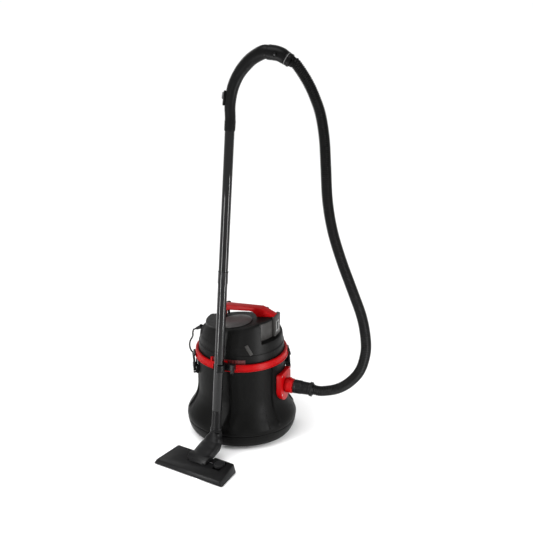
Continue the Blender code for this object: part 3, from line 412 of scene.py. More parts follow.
def moulded(name, colour, rough, grain=1100, depth=0.00006, spread=0.16, **constants):
    """Moulded plastic: a fine eroded grain, a faint wave in the surface and uneven gloss."""
    g = Graph(name)
    cloud = g.noise(14, 3)
    tint = g.ramp(cloud, scaled(colour, 1 - spread), scaled(colour, 1 + spread))
    gloss = g.spread(g.noise(55, 4, 0.6), rough - 0.05, rough + 0.07)
    wave = g.bump(g.noise(22, 2), 0.06, 0.0008)
    fine = g.bump(g.noise(grain, 2, 0.6), 0.35, depth, wave)
    return g.finish(tint, gloss, fine, **constants)


def polished_tube(name):
    """Black-chromed tube: fine lengthwise drawing marks under a hard clear gloss."""
    g = Graph(name)
    drawn = g.noise(900, 2, 0.5, stretch=(1, 1, 0.015))
    tint = g.ramp(g.noise(9, 2), (0.0012, 0.0012, 0.0014), (0.0022, 0.0022, 0.0024))
    gloss = g.spread(drawn, 0.05, 0.09)
    return g.finish(tint, gloss, g.bump(drawn, 0.08, 0.00004), Specular_IOR_Level=0.30)


def soft_rubber(name, colour, rough):
    g = Graph(name)
    tint = g.ramp(g.noise(40, 3), scaled(colour, 0.8), scaled(colour, 1.25))
    gloss = g.spread(g.noise(120, 3), rough - 0.06, rough + 0.06)
    return g.finish(tint, gloss, g.bump(g.noise(700, 3, 0.6), 0.3, 0.00008), Specular_IOR_Level=0.35)


def bare_metal(name, colour, rough):
    g = Graph(name)
    brushed = g.noise(300, 3, 0.5, stretch=(1, 1, 0.05))
    tint = g.ramp(g.noise(30, 3), scaled(colour, 0.82), scaled(colour, 1.1))
    gloss = g.spread(brushed, rough - 0.06, rough + 0.1)
    return g.finish(tint, gloss, g.bump(brushed, 0.1, 0.00005), Metallic=1.0)


def open_foam(name, colour):
    g = Graph(name)
    cells = g.node("ShaderNodeTexVoronoi", {"Vector": g.place, "Scale": 420.0}).outputs[0]
    tint = g.ramp(cells, scaled(colour, 0.4), scaled(colour, 1.4), 0.1, 0.7)
    return g.finish(tint, None, g.bump(cells, 0.8, 0.0008), Roughness=0.95)


BODY = moulded("body_black", (0.0022, 0.0022, 0.0021), 0.42, Specular_IOR_Level=0.06)
HEAD = moulded("head_black", (0.0034, 0.0034, 0.0033), 0.42, Specular_IOR_Level=0.08)
TRIM = moulded("trim_black", (0.0040, 0.0040, 0.0042), 0.36, Specular_IOR_Level=0.10)
CAP = moulded("cap_grey", (0.034, 0.030, 0.030), 0.44, Specular_IOR_Level=0.25)
PANEL = moulded("panel_grey", (0.024, 0.023, 0.022), 0.42, Specular_IOR_Level=0.20)
RED = moulded("red_gloss", (0.24, 0.0003, 0.0011), 0.36, grain=700, depth=0.00002, spread=0.05,
              Specular_IOR_Level=0.09)
WINDOW = moulded("red_shadow", (0.060, 0.0012, 0.0020), 0.5, spread=0.2)
GREY = moulded("grey_plastic", (0.17, 0.17, 0.17), 0.42, spread=0.06)
TUBE = polished_tube("black_chrome")
HOSE_PLASTIC = moulded("hose_plastic", (0.0040, 0.0040, 0.0040), 0.30, grain=500, spread=0.25,
                       Specular_IOR_Level=0.07)
RUBBER = soft_rubber("soft_black", (0.006, 0.006, 0.006), 0.6)
BRISTLE = soft_rubber("bristle_black", (0.02, 0.02, 0.02), 0.8)
STEEL = bare_metal("bare_steel", (0.56, 0.56, 0.57), 0.32)
ALLOY = bare_metal("motor_alloy", (0.52, 0.52, 0.53), 0.42)
FOAM = open_foam("filter_foam", (0.05, 0.05, 0.055))
GREY_DARK = moulded("shutter_grey", (0.060, 0.058, 0.062), 0.38, spread=0.1)
PANEL_DARK = moulded("pedal_black", (0.007, 0.007, 0.0073), 0.34, Specular_IOR_Level=0.15)


def dress(obj, material, body, replaces=()):
    """Gives a piece its material and the body it rides on, and hides the CAD parts it replaces."""
    obj.data.materials.clear()
    obj.data.materials.append(material)
    if replaces:
        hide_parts(*replaces)
    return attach(obj, body)


def dress_node(node, material):
    """A CAD node that stays gets a finished material."""
    for slot in frame["nodes"][node].material_slots:
        slot.material = material


# ---------------------------------------------------------------- camera, light and floor
CAMERA_FROM_DRUM = Vector((1.688, -3.944, 2.344))
CAMERA_TURN = (math.radians(68), 0, math.radians(22))
LENS = 90.7


def make_camera():
    data = bpy.data.cameras.new("camera")
    data.lens, data.sensor_width = LENS, 36
    data.clip_end = 200
    camera = link(bpy.data.objects.new("camera", data))
    camera.location = DRUM + CAMERA_FROM_DRUM
    camera.rotation_euler = CAMERA_TURN
    bpy.context.scene.camera = camera


def soft_box(name, location, target, size, power):
    data = bpy.data.lights.new(name, "AREA")
    data.shape = "RECTANGLE"
    data.size, data.size_y = size
    data.energy = power
    lamp = link(bpy.data.objects.new(name, data))
    lamp.location = location
    away = Vector(location) - Vector(target)
    lamp.rotation_euler = away.to_track_quat("Z", "Y").to_euler()
    return lamp


def make_studio():
    scene = bpy.context.scene
    scene.view_settings.view_transform = "Standard"
    world = bpy.data.worlds.new("studio")
    world.use_nodes = True
    world.node_tree.nodes["Background"].inputs["Color"].default_value = (1, 1, 1, 1)
    nodes, links = world.node_tree.nodes, world.node_tree.links
    ray, split = nodes.new("ShaderNodeTexCoord"), nodes.new("ShaderNodeSeparateXYZ")
    fade = nodes.new("ShaderNodeMapRange")
    for socket, value in (("From Min", 0.20), ("From Max", 0.55), ("To Min", 1.0), ("To Max", 0.38)):
        fade.inputs[socket].default_value = value
    links.new(ray.outputs["Generated"], split.inputs["Vector"])
    links.new(split.outputs["Z"], fade.inputs["Value"])
    links.new(fade.outputs["Result"], nodes["Background"].inputs["Strength"])
    scene.world = world

    bm = bmesh.new()
    bmesh.ops.create_circle(bm, cap_ends=True, segments=96, radius=60)
    floor = object_from("floor", bm)
    floor.location = (0, 0, -0.0005)
    g = Graph("pale_floor")
    tint = g.ramp(g.noise(0.4, 2), (0.87, 0.87, 0.87), (0.89, 0.89, 0.89))
    g.finish(tint, None, None, Roughness=0.9, Specular_IOR_Level=0.1)
    floor.data.materials.append(g.mat)

    data = bpy.data.lights.new("ceiling", "SUN")
    data.energy, data.angle = 2.3, math.radians(50)
    lamp = link(bpy.data.objects.new("ceiling", data))
    lamp.rotation_euler = (math.radians(14), math.radians(-10), 0)
    soft_box("rim", (-2.4, 1.8, 1.6), (0, 0, 0.5), (0.5, 2.0), 16)
    # Two upright strips near the wand, whose reflections draw the bright lines on its tubes.
    for name, spot in (("left_strip", (-0.38, -0.80)), ("right_strip", (0.76, -0.18))):
        strip = soft_box(name, (*spot, 0.42), (0.0, 0.0, 0.42), (0.05, 0.84), 8.0)
        strip.visible_camera = False


# ---------------------------------------------------------------- hose and lead
HOSE_PITCH = 0.0066


def make_hose():
    """A ribbed hose: one spiral ridge, with its ends inside the cuff and the collar."""
    route = [from_drum(*p) for p in HOSE_ROUTE]
    rings = 7
    line = smooth_route(route, HOSE_PITCH / rings)
    total = sum((q - p).length for p, q in zip(line, line[1:]))
    sides = 30
    outer, inner = HOSE_DIAMETER / 2, HOSE_DIAMETER / 2 - 0.0022

    def section(i, distance):
        ring = []
        for k in range(sides):
            turn = 2 * math.pi * k / sides
            phase = math.cos(2 * math.pi * distance / HOSE_PITCH - turn)
            ridge = 0.5 + 0.5 * math.copysign(abs(phase) ** 0.6, phase)
            r = inner + (outer - inner) * ridge
            ring.append((r * math.cos(turn), r * math.sin(turn)))
        return ring

    hose = smooth(sweep("hose_ribbed", line, section), 60)
    dress(hose, HOSE_PLASTIC, "drum")
    return hose, line, total


def make_cord():
    """The mains lead: the free stretch, then a neat wound coil, in one line."""
    free = smooth_route([from_drum(*p) for p in CORD_ROUTE], 0.006)
    centre = middle("cord_coil")
    centre.z = 0
    turns = coil_turns()
    top = COIL_TURNS_HIGH * CORD_DIAMETER + CORD_DIAMETER / 2
    stages = turns + [(turns[-1][0], top)]
    winding = []
    for turn, (radius, height) in enumerate(turns):
        following = stages[turn + 1]
        for k in range(24):
            share = k / 24
            ease = eased(max(0.0, (share - CROSSING) / (1 - CROSSING)))
            r = radius + (following[0] - radius) * ease
            z = height + (following[1] - height) * ease
            angle = math.pi - 2 * math.pi * share
            winding.append(centre + Vector((r * math.cos(angle), r * math.sin(angle), z)))
    for k in range(25):
        share = k / 24
        out = eased(min(1.0, share / 0.85))
        down = eased(clamped((share - 0.74) / 0.26))
        r = turns[-1][0] + (PLUG_SIDE - turns[-1][0]) * out
        z = top + (PLUG_HEIGHT - top) * down
        angle = math.pi * (1 - share)
        winding.append(centre + Vector((r * math.cos(angle), r * math.sin(angle), z)))
    winding.append(centre + Vector((PLUG_SIDE, -0.0115, PLUG_HEIGHT)))
    return free[:-1] + winding, centre


def make_tie(centre):
    """The strap that holds the coil together, open where the coil lies on the floor."""
    spot = centre + Vector((0, -COIL_MEAN_RADIUS, 0.0172))
    strap = block("cord_tie", (0.0080, 0.0284, 0.0344), spot)
    cut(strap, block("space", (0.02, 0.0262, 0.0400), spot - Vector((0, 0, 0.0040))))
    bevelled(strap, 0.0005, 2)
    return dress(smooth(strap, 40), TRIM, "drum")


def coil_turns():
    """The (radius, height) of each turn: layer on layer, out and then in again."""
    turns = []
    for layer in range(COIL_TURNS_HIGH):
        places = [COIL_MEAN_RADIUS + (i - (COIL_TURNS_WIDE - 1) / 2) * CORD_DIAMETER
                  for i in range(COIL_TURNS_WIDE)]
        if layer % 2 == 0:
            places = places[::-1]
        turns += [(radius, (layer + 0.5) * CORD_DIAMETER) for radius in places]
    return turns


def length_of(line):
    return sum((q - p).length for p, q in zip(line, line[1:]))


# ---------------------------------------------------------------- drum
GROOVES = [(0, 8.0, 1.4, 0.0075)] + [(60 * k, 6.2, 1.3, 0.0065) for k in (-2, -1, 1, 2, 3)]
GROOVE_EDGES = [centre + sign * (half + shift * edge) for centre, half, edge, _ in GROOVES
                for sign in (-1, 1) for shift in (0.0, 1.0, 1.6)]


def grooved(radius, height, degrees):
    """The tank's upright grooves, each a flat floor between two short walls."""
    depth = 0.0
    for centre, half, edge, deep in GROOVES:
        off = abs((degrees - centre + 180) % 360 - 180) - half
        depth = max(depth, deep * clamped(1 - off / edge))
    foot = eased(clamped((height - SEAM - 0.010) / 0.030))
    rim = clamped((TANK_TOP - 0.006 - height) / 0.006)
    return radius - depth * foot * rim


def make_tank():
    radius, height = 0.155, SEAM
    side = [(radius + 0.001, TANK_TOP), (radius + 0.001, TANK_TOP - 0.006), (radius, TANK_TOP - 0.014),
            (radius - 0.001, 0.240), (radius - 0.001, 0.190)]
    flare = smooth_route([(0.1540, 0.190, 0), (0.1552, 0.165, 0), (0.1615, 0.135, 0),
                          (0.1720, 0.113, 0), (0.1830, 0.095, 0), (0.1906, 0.081, 0),
                          (0.1933, 0.070, 0), (0.1930, height + 0.0045, 0)], 0.0075)
    profile = side + [(p.x, p.y) for p in flare[1:]]
    profile += [(0.1917, height + 0.0016), (0.1885, height + 0.0004), (0.1700, height + 0.0004)]
    tank = lathe("tank_shell", profile, directions(2.5, GROOVE_EDGES), grooved)
    applied(tank, "SOLIDIFY", thickness=0.003, offset=-1)
    dress(smooth(tank, 28), BODY, "drum", ["tank"])


def make_base():
    profile = rounded([(0.160, SEAM - 0.0004), (0.1913, SEAM - 0.0004), (0.1918, SEAM - 0.004),
                       (0.1904, 0.045), (0.1858, 0.029), (0.1785, 0.0152), (0.1757, 0.0152),
                       (0.1820, 0.029), (0.1855, 0.0405), (0.1840, 0.0485), (0.1800, 0.0486)], 0.0012)
    skirt = lathe("base_skirt", profile + [(0.160, 0.0486)], directions(2.5), closed=True)
    smooth(skirt, 30)
    dress(skirt, BODY, "drum")
    plate = lathe("base_floor", [(0.0, SEAM - 0.0004), (0.161, SEAM - 0.0004), (0.161, 0.0490),
                                 (0.0, 0.0490)], directions(7.5))
    ribs = []
    for k in range(10):
        rib = block("rib", (0.0028, 0.085, 0.007), Vector((0, 0, 0)))
        rib.data.transform(round_drum(36 * k + 18, 0, -0.085, 0.0460))
        ribs.append(rib)
    for index in range(5):
        spot = Vector(joint(f"caster_{index + 1}_swivel")["pos_m"])
        ribs.append(rod("boss", 0.0150, (spot.x, spot.y, 0.0482), (spot.x, spot.y, 0.0500), 32))
    dress(smooth(joined("base_ribs", ribs), 30), BODY, "drum")
    dress(smooth(plate, 30), BODY, "drum", ["base_plate"])


def make_casters():
    for index in range(5):
        number = index + 1
        fork = refined(f"caster_fork_{number}", 0.0006, 2)
        dress(fork, TRIM, f"caster_{number}")
        roll = joint(f"caster_{number}_roll")
        centre, axle = Vector(roll["pos_m"]), Vector(roll["axis"])
        profile = rounded([(0.0030, 0.0058), (0.0060, 0.0058), (0.0066, 0.0046), (0.0125, 0.0046),
                           (0.0132, 0.0058), (0.0150, 0.0058), (0.0168, 0.0035), (0.0168, -0.0035),
                           (0.0150, -0.0058), (0.0132, -0.0058), (0.0125, -0.0046),
                           (0.0066, -0.0046), (0.0060, -0.0058), (0.0030, -0.0058)], 0.0008)
        wheel = lathe(f"caster_tyre_{number}", profile, directions(9), place=standing(centre, axle),
                      closed=True)
        dress(smooth(wheel, 40), RUBBER, f"caster_roller_{number}",
              [f"caster_wheel_{number}"])


# ---------------------------------------------------------------- band, latches and clip
def arc_bar(name, inner, outer, low, high, first, last, step=1.5):
    """A piece of a ring, square in section."""
    bm = bmesh.new()
    count = max(2, round((last - first) / step))
    sections = []
    for i in range(count + 1):
        degrees = first + (last - first) * i / count
        sections.append([bm.verts.new(on_drum(degrees, r, z))
                         for r, z in ((inner, low), (outer, low), (outer, high), (inner, high))])
    for a, b in zip(sections, sections[1:]):
        for k in range(4):
            m = (k + 1) % 4
            bm.faces.new((a[k], a[m], b[m], b[k]))
    bm.faces.new(sections[0][::-1])
    bm.faces.new(sections[-1])
    return object_from(name, bm)


SEAT_FIRST, SEAT_LAST = -19.0, 28.0
LATCH_TURN = 28.0


def make_band():
    """The clamp band, with the raised seat and its ribbed window at the front."""
    low, high = BAND_BOTTOM, BAND_TOP
    profile = rounded([(0.1575, low + 0.0005), (0.1638, low), (0.1642, low + 0.0028),
                       (0.1613, low + 0.0034), (0.1612, low + 0.012), (0.1608, high - 0.0030),
                       (0.1590, high - 0.0004), (0.1550, high), (0.1512, high - 0.0010),
                       (0.1504, high - 0.006)], 0.0008, 3)
    profile += [(0.1504, high - 0.0090), (0.1575, high - 0.0090)]
    band = lathe("clamp_band_finish", profile, directions(2.0), closed=True)
    dress(smooth(band, 34), RED, "drum", ["clamp_band"])

    seat = [arc_bar("lip", 0.1570, 0.1600, high - 0.002, high + 0.0012, SEAT_FIRST, SEAT_LAST),
            arc_bar("post", 0.1512, 0.1590, high - 0.002, high + 0.0150, SEAT_FIRST, SEAT_FIRST + 2.6),
            arc_bar("post", 0.1512, 0.1590, high - 0.002, high + 0.0110, 0.4, 4.6)]
    seat = [bevelled(piece, 0.0009, 2) for piece in seat]
    dress(smooth(joined("band_seat", seat), 40), RED, "drum")
    back = [arc_bar("back", 0.1500, 0.1515, high - 0.002, high + 0.0150, SEAT_FIRST + 2.6, SEAT_LAST)]
    back += [arc_bar("rib", 0.1514, 0.1532, high - 0.002, high + 0.0146, a, a + 0.7)
             for a in (6.5, 10.5, 14.5, 18.5, 22.5, 26.5)]
    dress(smooth(joined("band_window", back), 40), WINDOW, "drum")


def make_latches():
    for side, body in (("right", "right_latch"), ("left", "left_latch")):
        dress(refined(f"latch_{side}", 0.0012, 3), TRIM, body)
        dress(refined(f"latch_seat_{side}", 0.0010, 2), BODY, "drum")
        degrees = LATCH_TURN + (0 if side == "right" else 180)
        grips = []
        for k in range(6):
            grip = block("grip", (0.0018, 0.030, 0.0016), (0, 0, 0))
            bevelled(grip, 0.0004, 1)
            grip.data.transform(round_drum(degrees, 0.1697 - 0.00021 * k, 0, 0.2580 + 0.0042 * k))
            grips.append(grip)
        dress(smooth(joined(f"latch_ridges_{side}", grips), 40), TRIM, body)


def make_clip():
    dress(refined("wand_clip", 0.0012, 3), TRIM, "drum")


# ---------------------------------------------------------------- head
POCKET_RADIUS = 0.1240
POCKET_HALF = 37.0
POCKET_SILL = 0.378


def pocketed(radius, height, degrees):
    off = abs((degrees - 90 + 90) % 180 - 90) - POCKET_HALF
    across = clamped(1 - off / 1.2)
    above = clamped((height - POCKET_SILL - 0.0005) / 0.0015)
    return radius + (min(radius, POCKET_RADIUS) - radius) * across * above


def head_height(x, y, z):
    """The height of a point of the head, lifted to the right and let down behind the handle."""
    share = clamped((z - SLOPE_START) / (HEAD_TOP - SLOPE_START))
    step = eased(clamped((y - DECK_EDGE) / DECK_STEP))
    return z + share * (TOP_SLOPE * x * (1 - step) - (HEAD_TOP - DECK_HEIGHT) * step)


def make_head():
    low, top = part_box("head_shell")[0][2], HEAD_TOP
    profile = [(0.1490, low), (0.1490, 0.3435), (0.1486, 0.3450), (0.1466, 0.3456), (0.1461, 0.3466),
               (0.1455, 0.3600), (0.1445, 0.3700), (0.1438, 0.3740), (0.1430, 0.3766),
               (0.1424, POCKET_SILL), (0.1420, POCKET_SILL + 0.0020), (0.1385, 0.3970),
               (0.1345, 0.4110), (0.1308, 0.4215), (0.1285, 0.4270), (0.1258, 0.4305),
               (0.1220, 0.4328), (0.1160, top)]
    profile += [(0.1044 - 0.0087 * k, top) for k in range(12)] + [(0.0, top)]
    edges = [side * (90 + sign * (POCKET_HALF + shift)) for side in (-1, 1) for sign in (-1, 1)
             for shift in (-0.6, 0.0, 1.2, 1.8)]
    shell = lathe("head_cover", profile, directions(3.0, edges), pocketed)
    for vertex in shell.data.vertices:
        off = vertex.co - DRUM
        vertex.co.z = head_height(off.x, off.y, off.z)
    applied(shell, "SOLIDIFY", thickness=0.0026, offset=-1)
    slots = []
    for k in range(-6, 7):
        slot = block("slot", (0.0042, 0.030, 0.0230), (0, 0, 0))
        slot.data.transform(round_drum(180 + 4.6 * k, 0, -0.142, 0.3305))
        slots.append(slot)
    cut(shell, joined("slots", slots))
    dress(smooth(shell, 26), HEAD, "drum", ["head_shell"])

    grille = lathe("vent_screen", [(0.1415, 0.347), (0.1415, 0.316), (0.1400, 0.316), (0.1400, 0.347)],
                   directions(7.5), closed=True)
    dress(smooth(grille), RUBBER, "drum")

    seams = [seam_line(69), seam_line(-69)]
    dress(smooth(joined("head_seams", seams), 40), TRIM, "drum")
    make_badge()


def seam_line(degrees):
    """A thin raised joint line down the head's lower ring."""
    bar = block("seam", (0.0010, 0.0012, 0.0270), (0, 0, 0))
    bar.data.transform(round_drum(degrees, 0, -0.1488, 0.3295))
    return bar


def make_badge():
    """The slanted raised bar on the head's front."""
    bar = block("slant", (0.0115, 0.0034, 0.0400), (0, 0, 0))
    bevelled(bar, 0.0010, 3)
    place = (round_drum(33, 0, -0.1450, 0.3660) @ Matrix.Rotation(math.radians(-5), 4, "X")
             @ Matrix.Rotation(math.radians(-27), 4, "Y"))
    bar.data.transform(place)
    dress(smooth(bar), PANEL, "drum")


def make_cap():
    rise = CAP_RISE
    profile = [(0.0, rise), (0.020, rise - 0.0001), (0.036, rise - 0.0009), (0.0475, rise - 0.0025),
               (0.0530, rise - 0.0040), (0.0560, rise - 0.0056), (0.0572, rise - 0.0074), (0.0576, 0.0),
               (0.0, 0.0)]
    place = (Matrix.Translation(from_drum(CAP_X, CAP_Y, HEAD_TOP + TOP_SLOPE * CAP_X + SURFACE_GAP))
             @ Matrix.Rotation(-math.atan(TOP_SLOPE), 4, "Y"))
    cap = lathe("top_cap_finish", profile, directions(5), place=place)
    dress(smooth(cap, 50), CAP, "drum", ["top_cap"])
    ring = lathe("cap_seat", [(0.0600, 0.0014), (0.0612, 0.0004), (0.0612, -0.0002), (0.0580, -0.0002),
                              (0.0580, 0.0014)], directions(5), place=place, closed=True)
    dress(smooth(ring, 40), HEAD, "drum")


def make_handle():
    dress(refined("carry_handle", 0.0030, 4), RED, "drum")


def make_switch():
    wall = arc_bar("pocket_panel", 0.1232, 0.1248, 0.3830, 0.4440, 55, 81.5)
    bevelled(wall, 0.0006, 2)
    dress(smooth(wall, 30), PANEL, "drum")
    dress(refined("switch_block", 0.0020, 3), PANEL, "drum")
    swing = Vector(joint("switch_rock")["pos_m"])
    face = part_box("switch_block")[1][0]
    bezel = block("bezel", (0.0024, 0.0225, 0.0380), (face + 0.0006, swing.y, swing.z))
    hole = block("hole", (0.01, 0.0152, 0.0300), (face + 0.0006, swing.y, swing.z))
    cut(bezel, hole)
    bevelled(bezel, 0.0006, 2)
    dress(smooth(bezel, 40), GREY, "drum")
    dress(refined("switch_rocker", 0.0008, 2), TRIM, "rocker")


def make_hooks():
    for side in ("left", "right"):
        low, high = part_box(f"cord_hook_{side}")
        centre = middle(f"cord_hook_{side}")
        rise = high[2] - low[2]
        profile = [(0.0, rise), (0.0045, rise - 0.0003), (0.0072, rise - 0.0018), (0.0080, rise - 0.0036),
                   (0.0074, rise - 0.0052), (0.0050, rise - 0.0060), (0.0042, rise - 0.0072),
                   (0.0042, 0.0018), (0.0054, 0.0), (0.0, 0.0)]
        post = lathe(f"cord_post_{side}", profile, directions(10),
                     place=Matrix.Translation((centre.x, centre.y, low[2])))
        dress(smooth(post, 45), TRIM, "drum", [f"cord_hook_{side}"])


def make_gland():
    """The lead's tapered strain relief: a collar, then ribs that get thinner."""
    tip, onward = from_drum(*CORD_ROUTE[0]), from_drum(*CORD_ROUTE[1])
    along = (onward - tip).normalized()
    start = tip - along * 0.0285
    profile = [(0.0092, 0.0), (0.0092, 0.0040), (0.0074, 0.0048)]
    for k in range(6):
        z, r = 0.0066 + 0.0036 * k, 0.0072 - 0.00042 * k
        profile += [(r, z), (r, z + 0.0020), (r - 0.0012, z + 0.0024), (r - 0.0012, z + 0.0032)]
    profile += [(0.0044, 0.0285), (0.0036, 0.0285), (0.0036, 0.0)]
    gland = lathe("cord_relief", profile, directions(12), place=standing(start, along), closed=True)
    dress(smooth(gland, 35), RUBBER, "drum", ["cord_gland"])


# ---------------------------------------------------------------- inlet
def make_inlet():
    dress(refined("inlet_port", 0.0016, 3), RED, "drum")
    collar = lathe("spigot_ring", rounded([(0.0213, 0.0), (0.0260, 0.0), (0.0268, 0.0030),
                                           (0.0262, 0.0255), (0.0240, 0.0275), (0.0213, 0.0275)], 0.001),
                   directions(7.5), place=standing(from_drum(0.1695, 0, INLET_HEIGHT), (1, 0, 0)),
                   closed=True)
    dress(smooth(collar, 35), RED, "drum")
    lug = block("lug", (0.0120, 0.0090, 0.0050), from_drum(0.184, 0, INLET_HEIGHT + 0.0282))
    bevelled(lug, 0.0012, 2)
    dress(smooth(lug), RED, "drum")
    heads = []
    for y, z in ((-0.0365, 0.2430), (0.0365, 0.2430), (-0.0345, 0.1720), (0.0345, 0.1720)):
        at = from_drum(0.1678, y, z)
        head = rod("screw", 0.0033, at, at + Vector((0.0012, 0, 0)), 20)
        slot = block("slot", (0.002, 0.0045, 0.0008), at + Vector((0.0014, 0, 0)))
        cross = block("slot", (0.002, 0.0008, 0.0045), at + Vector((0.0014, 0, 0)))
        cut(head, slot)
        heads.append(cut(head, cross))
    dress(smooth(joined("inlet_screws", heads)), STEEL, "drum")


def make_cuff():
    """The hose's cuff: a knurled barrel, a ribbed waist and the ring that takes the hose."""
    start = SPIGOT_END + 0.0003
    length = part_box("tank_cuff")[1][0] - DRUM.x - start
    profile = [(0.0180, 0.0), (0.0236, 0.0), (0.0244, 0.0012), (0.0244, 0.0065), (0.0232, 0.0078),
               (0.0230, 0.0280), (0.0218, 0.0300)]
    for k in range(6):
        z = 0.0312 + 0.0038 * k
        profile += [(0.0212, z), (0.0224 - 0.0001 * k, z + 0.0008), (0.0224 - 0.0001 * k, z + 0.0022),
                    (0.0212, z + 0.0030)]
    profile += [(0.0210, length - 0.0150), (0.0210, length - 0.0125), (0.0250, length - 0.0105),
                (0.0252, length - 0.0045), (0.0215, length - 0.0020), (0.0200, length - 0.0002),
                (0.0186, length - 0.0002), (0.0180, length - 0.0040)]
    cuff = lathe("hose_cuff", profile, directions(6),
                 place=standing(from_drum(start, 0, INLET_HEIGHT), (1, 0, 0)), closed=True)
    dress(smooth(cuff, 30), TRIM, "cuff", ["tank_cuff"])
    grips = []
    for k in range(18):
        grip = block("grip", (0.0170, 0.0022, 0.0014), (0, 0, 0))
        bevelled(grip, 0.0005, 1)
        grip.data.transform(Matrix.Translation(from_drum(start + 0.0180, 0, INLET_HEIGHT))
                            @ Matrix.Rotation(math.radians(20 * k), 4, "X")
                            @ Matrix.Translation((0, 0, 0.0234)))
        grips.append(grip)
    for k in (0, 3, 6, 9):
        tab = block("tab", (0.0052, 0.0070, 0.0032), (0, 0, 0))
        bevelled(tab, 0.0008, 2)
        tab.data.transform(Matrix.Translation(from_drum(start + length - 0.0075, 0, INLET_HEIGHT))
                           @ Matrix.Rotation(math.radians(30 * k), 4, "X")
                           @ Matrix.Translation((0, 0, 0.0258)))
        grips.append(tab)
    dress(smooth(joined("cuff_grips", grips), 40), TRIM, "cuff")


# ---------------------------------------------------------------- wand
TUBE_RADIUS = 0.016


def on_wand(distance):
    return NECK_FOOT + WAND_DIRECTION * distance


def wand_span(node):
    """Where a node starts and ends along the wand's axis."""
    low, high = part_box(node)
    slope = WAND_DIRECTION.z
    reach = TUBE_RADIUS * math.sqrt(1 - slope * slope)
    return (low[2] - NECK_FOOT.z + reach) / slope, (high[2] - NECK_FOOT.z - reach) / slope


def make_tubes():
    first, last = wand_span("lower_tube")
    place = standing(on_wand(0), WAND_DIRECTION)
    r = TUBE_RADIUS
    socket = last - 0.040
    lower = [(r - 0.0010, first), (r - 0.0002, first), (r, first + 0.0006), (r, socket - 0.004),
             (r + 0.0013, socket + 0.001), (r + 0.0013, last - 0.0030), (r + 0.0019, last - 0.0022),
             (r + 0.0019, last - 0.0006), (r + 0.0012, last), (r + 0.0002, last),
             (r + 0.0002, last - 0.030)]
    tube = lathe("lower_tube_finish", lower[::-1], directions(5), place=place)
    dress(smooth(tube, 40), TUBE, "wand", ["lower_tube"])
    upper_last = wand_span("upper_tube")[1]
    upper = [(r - 0.0012, upper_last), (r, upper_last), (r, last + 0.006), (r - 0.0002, last - 0.002),
             (r - 0.0004, last - 0.010), (r - 0.0012, last - 0.020)]
    tube = lathe("upper_tube_finish", upper, directions(5), place=place)
    dress(smooth(tube, 40), TUBE, "wand", ["upper_tube"])
    return upper_last


def make_neck():
    tube_foot = wand_span("lower_tube")[0]
    profile = [(0.0120, tube_foot + 0.020), (0.0145, tube_foot + 0.020), (0.0146, tube_foot),
               (0.0152, tube_foot - 0.001), (0.0156, tube_foot - 0.010), (0.0159, 0.045),
               (0.0168, 0.0330), (0.0172, 0.0300), (0.0192, 0.0290), (0.0196, 0.0275),
               (0.0196, 0.0225), (0.0186, 0.0212), (0.0186, 0.0200), (0.0200, 0.0190),
               (0.0200, 0.0150), (0.0190, 0.0140), (0.0120, 0.0140)]
    neck = lathe("neck_finish", profile, directions(7.5), place=standing(on_wand(0), WAND_DIRECTION))
    dress(smooth(neck, 35), TRIM, "wand", ["neck"])


GRIP_LINE = [(-0.001, -0.076, 1.205), (0.008, -0.072, 1.262), (0.030, -0.069, 1.311),
             (0.063, -0.067, 1.352), (0.092, -0.066, 1.374)]
CONNECTOR_LINE = [(0.1270, -0.0660, 1.3855), (0.1480, -0.0660, 1.3850), (0.1680, -0.0660, 1.3815),
                  (0.1855, -0.0660, 1.3727)]


def make_grip(tube_top):
    """The curved handle: slim where it takes the tube, fuller where the hand holds it."""
    start, end = on_wand(tube_top + 0.0003), from_drum(*CONNECTOR_LINE[0])
    route = [start, on_wand(tube_top + 0.040)] + [from_drum(*p) for p in GRIP_LINE]
    line = smooth_route(route + [end - Vector((0.012, 0, -0.0003)), end - Vector((0.0004, 0, 0))], 0.005)
    total = length_of(line)
    sizes = [(0.0, 0.0350, 0.0350), (0.004, 0.0362, 0.0362), (0.030, 0.0366, 0.0366),
             (0.036, 0.0350, 0.0350), (0.090, 0.0356, 0.0360), (0.170, 0.0385, 0.0395),
             (0.250, 0.0420, 0.0430), (total - 0.016, 0.0448, 0.0455), (total - 0.0125, 0.0440, 0.0448),
             (total, 0.0430, 0.0438)]

    def section(i, distance):
        return oval(*between(sizes, distance), 36, 2.05)

    grip = smooth(sweep("handle_grip_finish", line, section), 40)
    dress(grip, TRIM, "wand", ["handle_grip"])


def make_shutter():
    """The air shutter: an oval ribbed slide in a raised frame."""
    slide = joint("air_slide")
    up = -Vector(slide["axis"]).normalized()
    low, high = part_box("air_slider")
    centre = (Vector(low) + Vector(high)) / 2
    rail = middle("slider_rail")
    outward = centre - rail
    outward = (outward - up * outward.dot(up)).normalized()
    across = outward.cross(up)
    turn = Matrix((across, outward, up)).transposed().to_4x4()

    seat = sweep("shutter_frame", [rail - outward * 0.0050, rail + outward * 0.0012],
                 lambda i, d: oval(0.0130, 0.0500, 32, 2.6), side=across)
    bevelled(seat, 0.0010, 2)
    dress(smooth(seat, 40), TRIM, "wand", ["slider_rail"])

    pad = sweep("shutter_pad", [centre - outward * 0.0018, centre + outward * 0.0010],
                lambda i, d: oval(0.0105, 0.0235, 28, 2.4), side=across)
    bevelled(pad, 0.0008, 2)
    ribs = []
    for k in range(-2, 3):
        rib = block("rib", (0.0082, 0.0016, 0.0013), (0, 0, 0))
        bevelled(rib, 0.0004, 2)
        rib.data.transform(Matrix.Translation(centre + outward * 0.0014 + up * 0.0038 * k) @ turn)
        ribs.append(rib)
    dress(smooth(joined("shutter_slide", [pad] + ribs), 40), GREY_DARK, "shutter",
          ["air_slider"])


